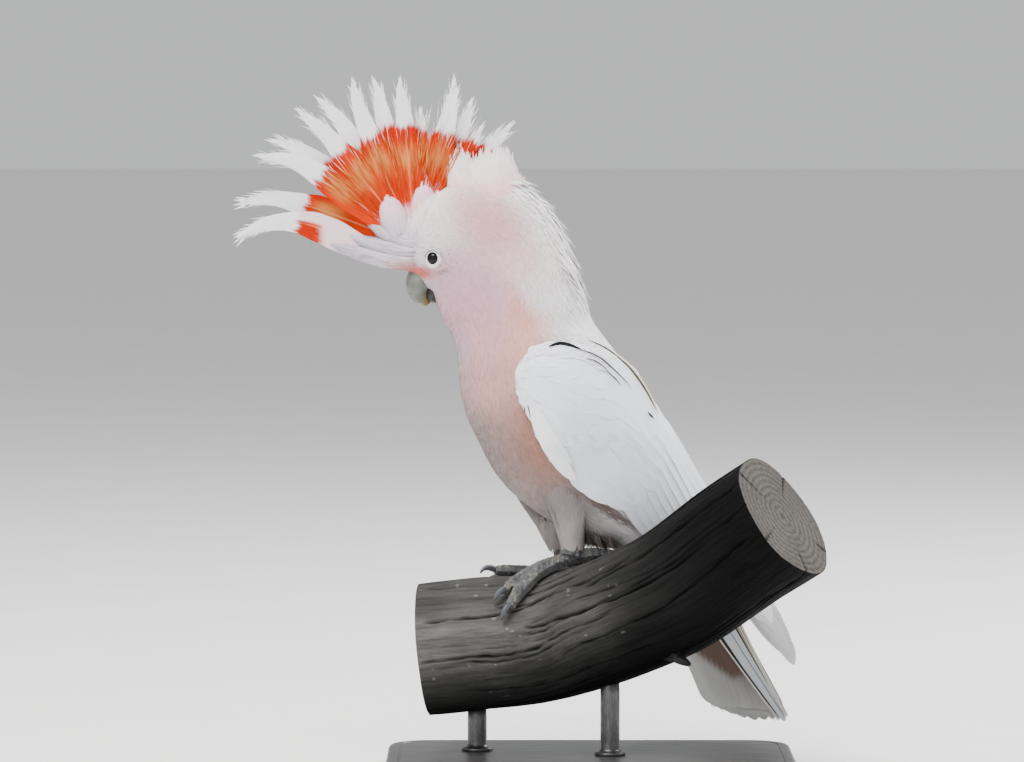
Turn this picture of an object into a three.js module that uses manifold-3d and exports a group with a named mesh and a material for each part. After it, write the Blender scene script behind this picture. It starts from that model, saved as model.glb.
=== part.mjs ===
// A life-size pink cockatoo with its crest raised, perched on a short cut length of branch.
// The branch stands on a plain display stand: a flat base with two short rods.
// Millimetres, +Z up. The bird faces -X and its left side faces -Y.
// The origin is the centre of the base's underside.
import * as THREE from "three";
import { mergeVertices } from "three/addons/utils/BufferGeometryUtils.js";
import Module from "manifold-3d";

const wasm = await Module();
wasm.setup();

// ---------------------------------------------------------------- driving dimensions
const GAP = 0.3; // clearance between pieces that touch
const BIRD_Y = 38; // the bird's plane of symmetry lies behind the middle of the base

// The body's outline at the tips of the feathers, from the forehead round the head,
// down the neck and trunk to the tail coverts. Each station holds its throat-or-belly point [x, z],
// its crown-or-back point [x, z] and its half width.
const BODY = [
  [[-117, 315], [-95, 358], 13],
  [[-110, 306], [-68, 371], 20],
  [[-99, 297], [-45, 367], 23.5],
  [[-95, 288], [-28, 352], 25.5],
  [[-91, 279], [-17, 334], 27.5],
  [[-87, 272], [-10, 315], 29],
  [[-84, 265], [-5, 297], 30.5],
  [[-82, 256], [1, 280], 32.5],
  [[-81, 239], [10, 267], 35],
  [[-77, 220], [17, 258], 38],
  [[-69, 203], [23, 248], 40],
  [[-61, 187], [28, 238], 41],
  [[-51, 174], [33, 221], 40],
  [[-37, 162], [41, 205], 36],
  [[-19, 150], [48, 189], 31],
  [[0, 142], [56, 172], 26],
  [[17, 135], [63, 156], 21],
  [[33, 123], [70, 139], 17],
  [[48, 107], [80, 120], 14],
  [[63, 84], [89, 94], 9],
];
const BODY_SIDES = 20;
const FOREHEAD_DEPTH = 9; // how far the rounded forehead stands in front of the first station
// The stations at which the body is parted, and how many steps each part is drawn with.
const BODY_PARTS = [
  ["head", 0, 4.4, 7],
  ["neck", 4.4, 8, 5],
  ["breast", 8, 11.5, 5],
  ["abdomen", 11.5, 15, 5],
  ["rump", 15, 19, 5],
];

// Below this height the body swings to the right, by this share of the drop, to pass behind the branch.
const SWAY = { from: 205, share: 0.16 };

const EYE = { x: -96.3, z: 317.7, depth: 12.8, radius: 5.2 };

// The crest's long feathers fan out from this centre. Angles are in degrees from +X, over the top.
const CREST_CENTRE = [-108.5, 325.5];
// [angle of the tip, reach of the tip, angle half way along, lean of the tip to one side].
const CREST_LONG = [
  [177.5, 110, 169, -6],
  [166.5, 112, 160, 5],
  [150.5, 111.5, 143.5, -6],
  [143.5, 110, 139, 8],
  [131, 110, 128, -7],
  [123, 108.5, 120.5, 8],
  [111, 108, 112.5, -6],
  [103.5, 104, 104, 7],
  [95.5, 101.5, 94.5, -7],
  [87, 82, 87, 5],
  [76, 104, 75, -5],
  [68, 94, 68, 7],
  [60, 82, 62, -7],
  [51, 94, 53.5, 4],
];
// The pale plumes that cover the crest's foot: [angle, reach, half width, half thickness].
const CREST_LOBES = [
  [179.5, 48, 9, 12],
  [157, 40, 9, 11],
  [126, 37, 10, 12],
  [84, 43, 10, 12],
  [65, 65, 9, 12],
  [52, 75, 9, 12],
  [40, 82, 10, 11],
];
// The packed quills at the fan's foot: [angle, reach].
const CREST_FOOT = [
  [205, 24],
  [180, 32],
  [150, 32],
  [120, 30],
  [95, 34],
  [75, 48],
  [58, 60],
  [42, 64],
];
const CREST_FOOT_THICKNESS = 8;

// One folded wing, shoulder to tip: [upper edge x, z, depth], [lower edge x, z, depth], bulge.
// Depth is measured sideways from the bird's plane of symmetry.
const WING = [
  [[-44, 252, 33], [-46, 246, 34], 2],
  [[-34, 263, 35], [-43, 233, 39], 5],
  [[-17, 265, 32], [-37, 224, 41], 7],
  [[6, 260, 24], [-28, 205, 44], 8],
  [[24, 249, 16], [-18, 191, 44], 9],
  [[36, 233, 12], [-7, 180, 42], 9],
  [[47, 214, 10], [8, 170, 39], 8],
  [[58, 195, 9], [22, 160, 34], 8],
  [[68, 177, 9], [35, 148, 29], 7],
  [[80, 156, 9], [52, 130, 23], 5],
  [[94, 131, 10], [75, 113, 19], 4],
  [[109, 107, 10.5], [98, 96.5, 16.5], 3],
  [[121, 93, 11.5], [108, 84.5, 15.5], 2.4],
  [[128, 78, 11], [118.5, 72.5, 13], 1.8],
  [[129, 65, 11], [126.5, 61.5, 12], 1],
];
const WING_THICKNESS = [4, 9, 12, 13, 13, 13, 12, 11, 9, 7, 5, 3.5, 2.6, 2, 1.4];
const WING_PARTS = [
  ["coverts", 0, 4.6, 6],
  ["secondaries", 4.6, 9, 5],
  ["primaries", 9, 14, 6],
];
const WING_ARC_STEPS = 5;

// The tail: twelve feathers in a narrow fan, rolled so that its underside turns to the left.
const TAIL = {
  root: [53, 15, 145],
  tip: [111, 36.5, 23.5],
  feathers: 9,
  rootSpread: 30, // between the quills of the outermost two
  fan: 10, // degrees between the outermost two
  roll: 50, // degrees
  halfWidth: 9.5,
  thickness: 1.8,
  layer: 0.5, // how far each feather lies under its inner neighbour
};

// The branch: [x, y, z] along its middle, in the bird's frame.
const PERCH_LINE = [
  [-102, -2, 74],
  [-68, -6, 77.5],
  [-37, -10, 80.5],
  [-8, -18, 88],
  [22, -36, 100.5],
  [53, -57, 116.5],
  [92, -78, 147],
  [115, -90, 164],
];
const PERCH_RADIUS = 40;
const PERCH_STEPS = 14;
const PERCH_SIDES = 20;

const TOE_RADIUS = 4.4;
const TOE_PADS = [1.05, 0.98, 1.06, 0.9, 0.98, 0.82, 0.88, 0.62]; // shares of it, root to claw
const SHANK_RADII = [5.2, 5.4, 7];
// A claw from its root: [distance ahead, distance down towards the wood, radius].
const CLAW = [
  [0.3, -0.6, 2.2],
  [5, -1.6, 2],
  [9, -0.2, 1.3],
  [10.8, 2.2, 0.5],
];
// Where each foot stands along the branch (0 to 1) and round it (degrees from the top to the left).
// A parrot's first and last toes point back and the other two forwards. Each is given as its reach
// along the branch, and how far round the branch from the foot it ends, in degrees to the left.
const FEET = {
  left: {
    along: 0.472,
    round: 4,
    hip: [-15, -13, 184],
    ankle: [-11, -16, 140],
    toes: [[8, -56], [-58, 32], [-52, 49], [21, -40]],
  },
  right: {
    along: 0.405,
    round: -36,
    hip: [-34, 16, 184],
    ankle: [-19, 15, 138],
    toes: [[13, -18], [-54, 30], [-50, 6], [7, -46]],
  },
};

const STAND = { length: 252, width: 176, thickness: 12, corner: 26, rod: 6 };
const ROD_PLACES = [
  [-70, -7],
  [12, -31],
];

// ---------------------------------------------------------------- materials
const paint = (color, roughness = 0.85, metalness = 0) =>
  new THREE.MeshStandardMaterial({ color, roughness, metalness });
const MATERIALS = {
  pink: paint(0xe6c3bf),
  blush: paint(0xd9a99e),
  white: paint(0xf1eff2),
  crest: paint(0xe8643c),
  horn: paint(0xc9c8bd, 0.45),
  eye: paint(0x120c0a, 0.12),
  scale: paint(0x77767a, 0.7),
  claw: paint(0x4c4c52, 0.4),
  wood: paint(0x3b3a39, 0.9),
  stand: paint(0x2a2a2c, 0.5),
};

// ---------------------------------------------------------------- geometry helpers
const V = (x, y, z) => new THREE.Vector3(x, y, z);
const DEG = Math.PI / 180;

// A closed geometry through rings of equal length, with a fan of triangles over each end.
function loft(rings) {
  const n = rings[0].length;
  const points = rings.flat();
  const first = points.length;
  const middle = (ring) =>
    ring.reduce((sum, p) => sum.add(p), V(0, 0, 0)).divideScalar(n);
  points.push(middle(rings[0]), middle(rings[rings.length - 1]));
  const faces = [];
  for (let i = 0; i + 1 < rings.length; i++) {
    for (let k = 0; k < n; k++) {
      const a = i * n + k;
      const b = i * n + ((k + 1) % n);
      faces.push([a, b, b + n], [a, b + n, a + n]);
    }
  }
  const last = (rings.length - 1) * n;
  for (let k = 0; k < n; k++) {
    const next = (k + 1) % n;
    faces.push([first, next, k], [first + 1, last + k, last + next]);
  }
  let volume = 0;
  for (const [a, b, c] of faces) {
    volume += points[a].dot(V(0, 0, 0).crossVectors(points[b], points[c]));
  }
  if (volume < 0) faces.forEach((f) => f.reverse());
  const geometry = new THREE.BufferGeometry().setFromPoints(points);
  return geometry.setIndex(faces.flat());
}

function solidOf(geometry) {
  const bare = geometry.clone();
  bare.deleteAttribute("normal");
  bare.deleteAttribute("uv");
  const merged = mergeVertices(bare, 1e-4);
  return new wasm.Manifold(
    new wasm.Mesh({
      numProp: 3,
      vertProperties: new Float32Array(merged.attributes.position.array),
      triVerts: new Uint32Array(merged.index.array),
    }),
  );
}

function geometryOf(solid) {
  const bodies = solid.decompose().sort((a, b) => b.volume() - a.volume());
  const mesh = bodies[0].getMesh();
  const geometry = new THREE.BufferGeometry();
  geometry.setAttribute(
    "position",
    new THREE.BufferAttribute(mesh.vertProperties, mesh.numProp),
  );
  geometry.setIndex(new THREE.BufferAttribute(mesh.triVerts, 1));
  return geometry.toNonIndexed();
}

// Values between the rows of a table, read with a smooth curve through them.
function smoothTable(rows) {
  const curve = (pick) =>
    new THREE.CatmullRomCurve3(rows.map((row) => V(...pick(row))), false, "catmullrom", 0.5);
  const read = (line, at) => line.getPoint(THREE.MathUtils.clamp(at / (rows.length - 1), 0, 1));
  return { curve, read };
}

// ---------------------------------------------------------------- the body
const bodyTable = smoothTable(BODY);
const bodyFront = bodyTable.curve(([front, , half]) => [front[0], half, front[1]]);
const bodyBack = bodyTable.curve(([, back]) => [back[0], 0, back[1]]);

const sway = (p) => p.setY(p.y + Math.max(0, SWAY.from - p.z) * SWAY.share);

// One ring of the body at a station, grown by some millimetres, and moved along the body.
function bodyRing(at, grow = 0, move = 0) {
  const front = bodyTable.read(bodyFront, at);
  const back = bodyTable.read(bodyBack, at);
  const half = front.y + grow;
  front.y = 0;
  const middle = front.clone().add(back).multiplyScalar(0.5);
  const across = back.clone().sub(front);
  const reach = across.length() / 2 + grow;
  across.normalize();
  const along = V(0, 0, 0).crossVectors(across, V(0, 1, 0));
  const ring = [];
  for (let k = 0; k < BODY_SIDES; k++) {
    const angle = (2 * Math.PI * (k + 0.5)) / BODY_SIDES;
    ring.push(
      middle
        .clone()
        .addScaledVector(across, reach * Math.cos(angle))
        .addScaledVector(V(0, 1, 0), half * Math.sin(angle))
        .addScaledVector(along, -move),
    );
  }
  return ring.map(sway);
}

// The rounded forehead: the first ring drawn in towards a point in front of it.
function foreheadRings(grow = 0) {
  const first = bodyRing(0, grow);
  const middle = first.reduce((sum, p) => sum.add(p), V(0, 0, 0)).divideScalar(first.length);
  const across = first[0].clone().sub(first[first.length / 2]);
  const forward = V(0, 0, 0).crossVectors(across, V(0, 1, 0));
  forward.normalize().multiplyScalar(FOREHEAD_DEPTH + grow);
  return [78, 52, 27].map((degrees) =>
    first.map((p) =>
      middle
        .clone()
        .lerp(p, Math.cos(degrees * DEG))
        .addScaledVector(forward, Math.sin(degrees * DEG)),
    ),
  );
}

function bodyPart(from, to, steps, grow = 0, join = GAP / 2) {
  const rings = from === 0 ? foreheadRings(grow) : [];
  for (let i = 0; i <= steps; i++) {
    const ends = i === 0 && from > 0 ? join : i === steps && to < BODY.length - 1 ? -join : 0;
    rings.push(bodyRing(from + ((to - from) * i) / steps, grow, ends));
  }
  return loft(rings);
}

// ---------------------------------------------------------------- feathers
// A flat feather along a curve. Its rings are thin lozenges, widest at two thirds.
function featherSolid(points, face, halfWidth, thickness, blunt = 0.25, steps = 6) {
  const line = new THREE.CatmullRomCurve3(points);
  const rings = [];
  for (let i = 0; i <= steps; i++) {
    const s = i / steps;
    const place = line.getPoint(s);
    const side = V(0, 0, 0).crossVectors(face, line.getTangent(s)).normalize();
    const up = V(0, 0, 0).crossVectors(line.getTangent(s), side).normalize();
    const swell = Math.sin(Math.PI * Math.min(0.5, 0.12 + s * 0.55));
    const close = s > 0.72 ? 1 - (1 - blunt) * ((s - 0.72) / 0.28) ** 2 : 1;
    const w = halfWidth * swell * close;
    const h = (thickness / 2) * (1 - 0.45 * s);
    rings.push([
      place.clone().addScaledVector(side, w),
      place.clone().addScaledVector(up, h),
      place.clone().addScaledVector(side, -w),
      place.clone().addScaledVector(up, -h),
    ]);
  }
  return loft(rings);
}

const crestPoint = (degrees, reach, y = 0) =>
  V(
    CREST_CENTRE[0] + reach * Math.cos(degrees * DEG),
    y,
    CREST_CENTRE[1] + reach * Math.sin(degrees * DEG),
  );

function crestFoot() {
  const outline = new THREE.Shape();
  outline.moveTo(CREST_CENTRE[0], CREST_CENTRE[1] - 8);
  for (const [degrees, reach] of [...CREST_FOOT].reverse()) {
    const { x, z } = crestPoint(degrees, reach);
    outline.lineTo(x, z);
  }
  outline.closePath();
  return new THREE.ExtrudeGeometry(outline, {
    depth: CREST_FOOT_THICKNESS / 2,
    bevelThickness: CREST_FOOT_THICKNESS / 4,
    bevelSize: 2,
    bevelSegments: 1,
    steps: 1,
  })
    .translate(0, 0, -CREST_FOOT_THICKNESS / 4)
    .rotateX(Math.PI / 2);
}

function crestSolid(headGrown) {
  const long = CREST_LONG.map(([degrees, reach, half, lean]) => {
    const drop = Math.max(0, half - 160) * 4.5; // the foremost quill rises from the forehead
    const line = [
      crestPoint(half + drop, drop ? 20 : 14, lean * 0.15),
      crestPoint(half, reach * 0.62, lean * 0.6),
      crestPoint(degrees, reach, lean),
    ];
    const heading = line[2].clone().sub(line[0]).normalize();
    const face = V(0, 1, 0).addScaledVector(heading, -heading.y);
    return featherSolid(line, face, 7.2, 1.5, 0.16, 4);
  });
  const lobes = CREST_LOBES.map(([degrees, reach, wide, thick]) => {
    const line = [4, reach * 0.55, reach].map((r) => crestPoint(degrees, r).toArray());
    const sizes = [[thick, wide], [thick * 0.7, wide], [0.8, 2]];
    return loft(hornRings(line, sizes, 6, 4));
  });
  return [crestFoot(), ...lobes, ...long]
    .map(solidOf)
    .reduce((sum, s) => sum.add(s))
    .subtract(headGrown);
}

// ---------------------------------------------------------------- the bill and eyes
// A curved horn: rings along an arc, each an ellipse that shrinks towards the tip.
function hornRings(points, sizes, sides, steps = 7) {
  const line = new THREE.CatmullRomCurve3(points.map((p) => V(...p)));
  const size = new THREE.CatmullRomCurve3(sizes.map(([w, d]) => V(w, d, 0)));
  const rings = [];
  for (let i = 0; i <= steps; i++) {
    const s = i / steps;
    const place = line.getPoint(s);
    const tangent = line.getTangent(s);
    const out = V(0, 0, 0).crossVectors(tangent, V(0, 1, 0)).normalize();
    const { x: wide, y: deep } = size.getPoint(s);
    const ring = [];
    for (let k = 0; k < sides; k++) {
      const a = (2 * Math.PI * k) / sides;
      // The ridge of the bill is narrower than its cutting edges.
      const narrow = 1 - 0.22 * Math.cos(a);
      ring.push(
        place
          .clone()
          .addScaledVector(out, deep * Math.cos(a))
          .addScaledVector(V(0, 1, 0), wide * narrow * Math.sin(a)),
      );
    }
    rings.push(ring);
  }
  return rings;
}

const upperBill = () =>
  loft(hornRings(
    [[-99, 0, 313], [-106, 0, 303.5], [-105.5, 0, 294.5], [-100, 0, 286]],
    [[8.4, 8.6], [8.2, 8.2], [6.2, 6.6], [1.6, 2]],
    12,
  ));
const lowerBill = () =>
  loft(hornRings(
    [[-86, 0, 298], [-91, 0, 291], [-96.5, 0, 288], [-99.2, 0, 289.5]],
    [[6.6, 5], [6.4, 4.8], [5.2, 3.6], [3, 2]],
    10,
  ));

// ---------------------------------------------------------------- the wings
const wingTable = smoothTable(WING);
const wingUpper = wingTable.curve(([upper]) => [upper[0], upper[2], upper[1]]);
const wingLower = wingTable.curve(([, lower]) => [lower[0], lower[2], lower[1]]);
const wingBulk = wingTable.curve(([, , bulge]) => [bulge, 0, 0]);
const wingDeep = smoothTable(WING_THICKNESS).curve((t) => [t, 0, 0]);

// A wing's ring: an outer arc from its upper edge to its lower edge, and an inner arc back.
function wingRing(at, side) {
  const upper = wingTable.read(wingUpper, at);
  const lower = wingTable.read(wingLower, at);
  const bulge = wingTable.read(wingBulk, at).x;
  const thick = wingTable.read(wingDeep, at).x;
  const down = lower.clone().sub(upper);
  const along = wingTable.read(wingUpper, at + 0.1).sub(wingTable.read(wingUpper, at - 0.1));
  const out = V(0, 0, 0).crossVectors(down, along).normalize();
  if (out.y < 0) out.negate();
  const arc = (height, from, to) => {
    const made = [];
    for (let k = from; k !== to; k += Math.sign(to - from)) {
      const s = k / WING_ARC_STEPS;
      const lift = height * 4 * s * (1 - s);
      made.push(upper.clone().addScaledVector(down, s).addScaledVector(out, lift));
    }
    return made;
  };
  const outer = arc(bulge, 0, WING_ARC_STEPS);
  const inner = arc(bulge - thick, WING_ARC_STEPS, 0);
  return [...outer, ...inner].map((p) => sway(V(p.x, side * p.y, p.z)));
}

function wingPart(from, to, steps, side, trunkGrown) {
  const rings = [];
  const pull = 0.018; // the share of a station that leaves the gap between two parts
  for (let i = 0; i <= steps; i++) {
    const ends = i === 0 && from > 0 ? pull : i === steps && to < 13 ? -pull : 0;
    rings.push(wingRing(from + ((to - from) * i) / steps + ends, side));
  }
  return solidOf(loft(rings)).subtract(trunkGrown);
}

// ---------------------------------------------------------------- the tail
function tailSolid(bodyGrown) {
  const root = V(...TAIL.root);
  const axis = V(...TAIL.tip).sub(root);
  const length = axis.length();
  axis.normalize();
  const belly = V(0, 0, 0).crossVectors(V(0, 1, 0), axis);
  const sideways = V(0, 0, 0).crossVectors(axis, belly);
  const across = V(0, 0, 0)
    .addScaledVector(sideways.normalize(), Math.cos(TAIL.roll * DEG))
    .addScaledVector(belly.normalize(), Math.sin(TAIL.roll * DEG));
  const under = V(0, 0, 0).crossVectors(across, axis);
  const made = [];
  for (let i = 0; i < TAIL.feathers; i++) {
    const share = (2 * i) / (TAIL.feathers - 1) - 1; // -1 to 1 across the fan
    const angle = (share * TAIL.fan * DEG) / 2;
    const start = root
      .clone()
      .addScaledVector(across, (share * TAIL.rootSpread) / 2)
      .addScaledVector(under, Math.abs(share) * TAIL.layer * TAIL.feathers * 0.5);
    const heading = axis
      .clone()
      .multiplyScalar(Math.cos(angle))
      .addScaledVector(across, Math.sin(angle));
    const reach = length * (1 - 0.09 * share * share);
    const line = [0, 0.5, 1].map((s) =>
      start.clone().addScaledVector(heading, reach * s).addScaledVector(under, 6 * s * (1 - s)),
    );
    made.push(featherSolid(line, under, TAIL.halfWidth, TAIL.thickness, 0.5, 4));
  }
  return made
    .map(solidOf)
    .reduce((sum, s) => sum.add(s))
    .subtract(bodyGrown);
}

// ---------------------------------------------------------------- the branch
const perchLine = new THREE.CatmullRomCurve3(PERCH_LINE.map((p) => V(...p)));

// The branch's frame at a share of its length: its middle, its heading, up and left.
function perchFrame(share) {
  const s = THREE.MathUtils.clamp(share, 0, 1);
  const heading = perchLine.getTangent(s);
  const left = V(0, 0, 0).crossVectors(V(0, 0, 1), heading).normalize().negate();
  const up = V(0, 0, 0).crossVectors(left, heading).normalize();
  if (up.z < 0) up.negate();
  return { middle: perchLine.getPoint(s), heading, up, left };
}

// Its radius, with low swellings and a shallow flute or two.
function perchRadius(share, angle) {
  const swell = 0.03 * Math.sin(7 * share + 1) + 0.015 * Math.sin(3 * angle + 9 * share);
  const flute = 0.012 * Math.cos(5 * angle - 4 * share);
  return PERCH_RADIUS * (1 + swell + flute);
}

// A point on the branch, or above it. The angle is from its top, positive to the left.
function perchPoint(share, angle, above = 0) {
  const { middle, up, left } = perchFrame(share);
  const reach = perchRadius(share, angle) + above;
  return middle
    .addScaledVector(up, reach * Math.cos(angle))
    .addScaledVector(left, reach * Math.sin(angle));
}

function perchRings(grow) {
  const rings = [];
  for (let i = 0; i <= PERCH_STEPS; i++) {
    const ring = [];
    for (let k = 0; k < PERCH_SIDES; k++) {
      const angle = (2 * Math.PI * k) / PERCH_SIDES;
      ring.push(perchPoint(i / PERCH_STEPS, angle, grow));
    }
    rings.push(ring);
  }
  return rings;
}

// The stub of a broken twig under the branch.
function twigStub() {
  const start = perchPoint(0.66, 165 * DEG, -6);
  const end = perchPoint(0.7, 160 * DEG, 9);
  return loft(hornRings(
    [start.toArray(), start.clone().lerp(end, 0.5).toArray(), end.toArray()],
    [[5, 5], [3.4, 3.4], [1.4, 1.8]],
    8,
  ));
}

// ---------------------------------------------------------------- the legs
// A rounded limb along a curve, with one radius per point.
function limb(points, radii, sides = 10, steps = 8) {
  const line = new THREE.CatmullRomCurve3(points);
  const size = new THREE.CatmullRomCurve3(radii.map((r) => V(r, 0, 0)));
  const rings = [];
  let side = V(0, 1, 0);
  for (let i = 0; i <= steps; i++) {
    const s = i / steps;
    const tangent = line.getTangent(s);
    side = side.clone().addScaledVector(tangent, -side.dot(tangent)).normalize();
    const up = V(0, 0, 0).crossVectors(tangent, side);
    const radius = size.getPoint(s).x;
    const ring = [];
    for (let k = 0; k < sides; k++) {
      const a = (2 * Math.PI * k) / sides;
      ring.push(
        line
          .getPoint(s)
          .addScaledVector(side, radius * Math.cos(a))
          .addScaledVector(up, radius * Math.sin(a)),
      );
    }
    rings.push(ring);
  }
  return loft(rings);
}

// The line of one toe over the branch, from the middle of the foot to the root of its claw.
function toeLine(foot, [reach, turn]) {
  const share = reach / perchLine.getLength();
  return [0, 0.25, 0.5, 0.75, 1].map((s) => {
    const angle = foot.round + turn * s ** 1.3;
    const above = TOE_RADIUS * (1.1 - 0.35 * s) + 2 * GAP;
    return perchPoint(foot.along + share * s, angle * DEG, above);
  });
}

const toeSolid = (line, grow = 0) =>
  solidOf(limb(line, TOE_PADS.map((share) => share * TOE_RADIUS + grow), 6, 6));

// The shank, toes and claws of a foot, each clear of what is already there, and all of that
// with the foot added and grown by the gap.
function footSolids(name, foot, taken) {
  const made = [];
  let grown = taken;
  const take = (node, material, solid, larger) => {
    made.push([node, solid.subtract(grown), material]);
    grown = grown.add(larger);
  };
  const middle = perchPoint(foot.along, foot.round * DEG, TOE_RADIUS + 1.6);
  const ankle = V(...foot.ankle);
  const shankLine = [ankle.clone().add(V(0, 0, 6)), ankle.clone().lerp(middle, 0.5), middle];
  const shank = (grow) => solidOf(limb(shankLine, SHANK_RADII.map((r) => r + grow), 8, 3));
  take(`shank_${name}`, "scale", shank(0), shank(1.6 * GAP));

  const lines = foot.toes.map((toe) => toeLine(foot, toe));
  lines.forEach((line, i) => {
    take(`toe_${i + 1}_${name}`, "scale", toeSolid(line), toeSolid(line, 1.6 * GAP));
  });
  lines.forEach((line, i) => {
    // The claw starts just past the toe's end, and hooks down towards the wood.
    const end = line[4];
    const heading = end.clone().sub(line[3]).normalize();
    const { middle: core, heading: along } = perchFrame(
      foot.along + foot.toes[i][0] / perchLine.getLength(),
    );
    const inwards = core.sub(end);
    inwards.addScaledVector(along, -inwards.dot(along)).normalize();
    const clawLine = CLAW.map(([ahead, down]) =>
      end.clone().addScaledVector(heading, ahead).addScaledVector(inwards, down),
    );
    const claw = (grow) => solidOf(limb(clawLine, CLAW.map(([, , r]) => r + grow), 5, 5));
    take(`claw_${i + 1}_${name}`, "claw", claw(0), claw(1.4 * GAP));
  });
  return { made, grown };
}

// The feathered shin, from the flank to just above the foot.
function thighSolid(foot, bodyGrown, footGrown) {
  const hip = V(...foot.hip);
  const ankle = V(...foot.ankle);
  const shin = [0, 0.4, 0.8, 1].map((s) => hip.clone().lerp(ankle, s).add(V(-2 * s * (1 - s), 0, 0)));
  return solidOf(limb(shin, [15, 12, 8.8, 7.4], 9, 5))
    .subtract(bodyGrown)
    .subtract(footGrown);
}

// ---------------------------------------------------------------- the stand
function standBase() {
  const { length, width, thickness, corner } = STAND;
  const bevel = 2;
  const x = length / 2 - bevel;
  const y = width / 2 - bevel;
  const r = corner - bevel;
  const outline = new THREE.Shape();
  outline.absarc(x - r, y - r, r, 0, Math.PI / 2);
  outline.absarc(-x + r, y - r, r, Math.PI / 2, Math.PI);
  outline.absarc(-x + r, -y + r, r, Math.PI, 1.5 * Math.PI);
  outline.absarc(x - r, -y + r, r, 1.5 * Math.PI, 2 * Math.PI);
  return new THREE.ExtrudeGeometry(outline, {
    depth: thickness - 2 * bevel,
    bevelThickness: bevel,
    bevelSize: bevel,
    bevelSegments: 1,
    curveSegments: 4,
  }).translate(0, -BIRD_Y, bevel);
}

function rodSolid([x, y], perchGrown) {
  const top = 90;
  const bottom = STAND.thickness + GAP;
  const rod = new THREE.CylinderGeometry(STAND.rod, STAND.rod, top - bottom, 16)
    .rotateX(Math.PI / 2)
    .translate(x, y, (top + bottom) / 2);
  const cut = solidOf(rod).subtract(perchGrown);
  const below = cut.decompose().sort((a, b) => a.boundingBox().min[2] - b.boundingBox().min[2]);
  return below[0];
}

// ---------------------------------------------------------------- assembly
const bird = new THREE.Group();
bird.position.y = BIRD_Y;

function add(name, shape, material) {
  const geometry = shape.isBufferGeometry ? shape : geometryOf(shape);
  const mesh = new THREE.Mesh(geometry, MATERIALS[material]);
  mesh.name = name;
  bird.add(mesh);
}

const grownParts = BODY_PARTS.map(([, from, to, steps]) =>
  solidOf(bodyPart(from, to, steps, GAP * 1.5, -GAP)),
);
const headGrown = grownParts[0].add(grownParts[1]);
const bodyGrown = grownParts.reduce((sum, s) => sum.add(s));
const perch = solidOf(loft(perchRings(0))).add(solidOf(twigStub()));
const perchGrown = solidOf(loft(perchRings(GAP))).add(solidOf(twigStub()));

const upper = solidOf(upperBill());
const lower = solidOf(lowerBill());
const eyeSocket = (side) =>
  solidOf(new THREE.SphereGeometry(EYE.radius + 2 * GAP, 12, 7).translate(EYE.x, side * EYE.depth, EYE.z));

for (const [name, from, to, steps] of BODY_PARTS) {
  let part = solidOf(bodyPart(from, to, steps)).subtract(perchGrown);
  if (name === "head") {
    part = part.subtract(eyeSocket(-1)).subtract(eyeSocket(1));
  }
  add(name, part, name === "rump" ? "white" : "pink");
}
add("bill_upper", upper.subtract(headGrown), "horn");
add("bill_lower", lower.subtract(headGrown).subtract(solidOf(upperBill().translate(0.3, 0, -0.1))), "horn");
for (const [name, side] of [["left", -1], ["right", 1]]) {
  const ball = new THREE.SphereGeometry(EYE.radius, 12, 7).translate(EYE.x, side * EYE.depth, EYE.z);
  add(`eye_${name}`, ball, "eye");
}
add("crest", crestSolid(headGrown), "crest");

for (const [name, side] of [["left", -1], ["right", 1]]) {
  for (const [part, from, to, steps] of WING_PARTS) {
    add(`wing_${name}_${part}`, wingPart(from, to, steps, side, bodyGrown), "white");
  }
}
add("tail", tailSolid(bodyGrown), "white");

let taken = perchGrown;
for (const [name, foot] of Object.entries(FEET)) {
  const { made, grown } = footSolids(name, foot, taken);
  made.forEach(([node, solid, material]) => add(node, solid, material));
  taken = grown;
}
for (const [name, foot] of Object.entries(FEET)) {
  add(`thigh_${name}`, thighSolid(foot, bodyGrown, taken), "pink");
}

add("perch", perch, "wood");
add("stand_base", standBase(), "stand");
ROD_PLACES.forEach((place, i) => add(`stand_rod_${i + 1}`, rodSolid(place, perchGrown), "stand"));

export default bird;
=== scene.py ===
"""A life-size pink cockatoo with its crest raised, on a cut length of weathered branch.

The branch is held over a flat base by two short rods. Sizes are in millimetres in the bird's own
frame, whose plane of symmetry is y = 0, and become metres in the row frame when a mesh is made.
The bird faces -X and its left side faces -Y.
"""
import math
from functools import partial

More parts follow.
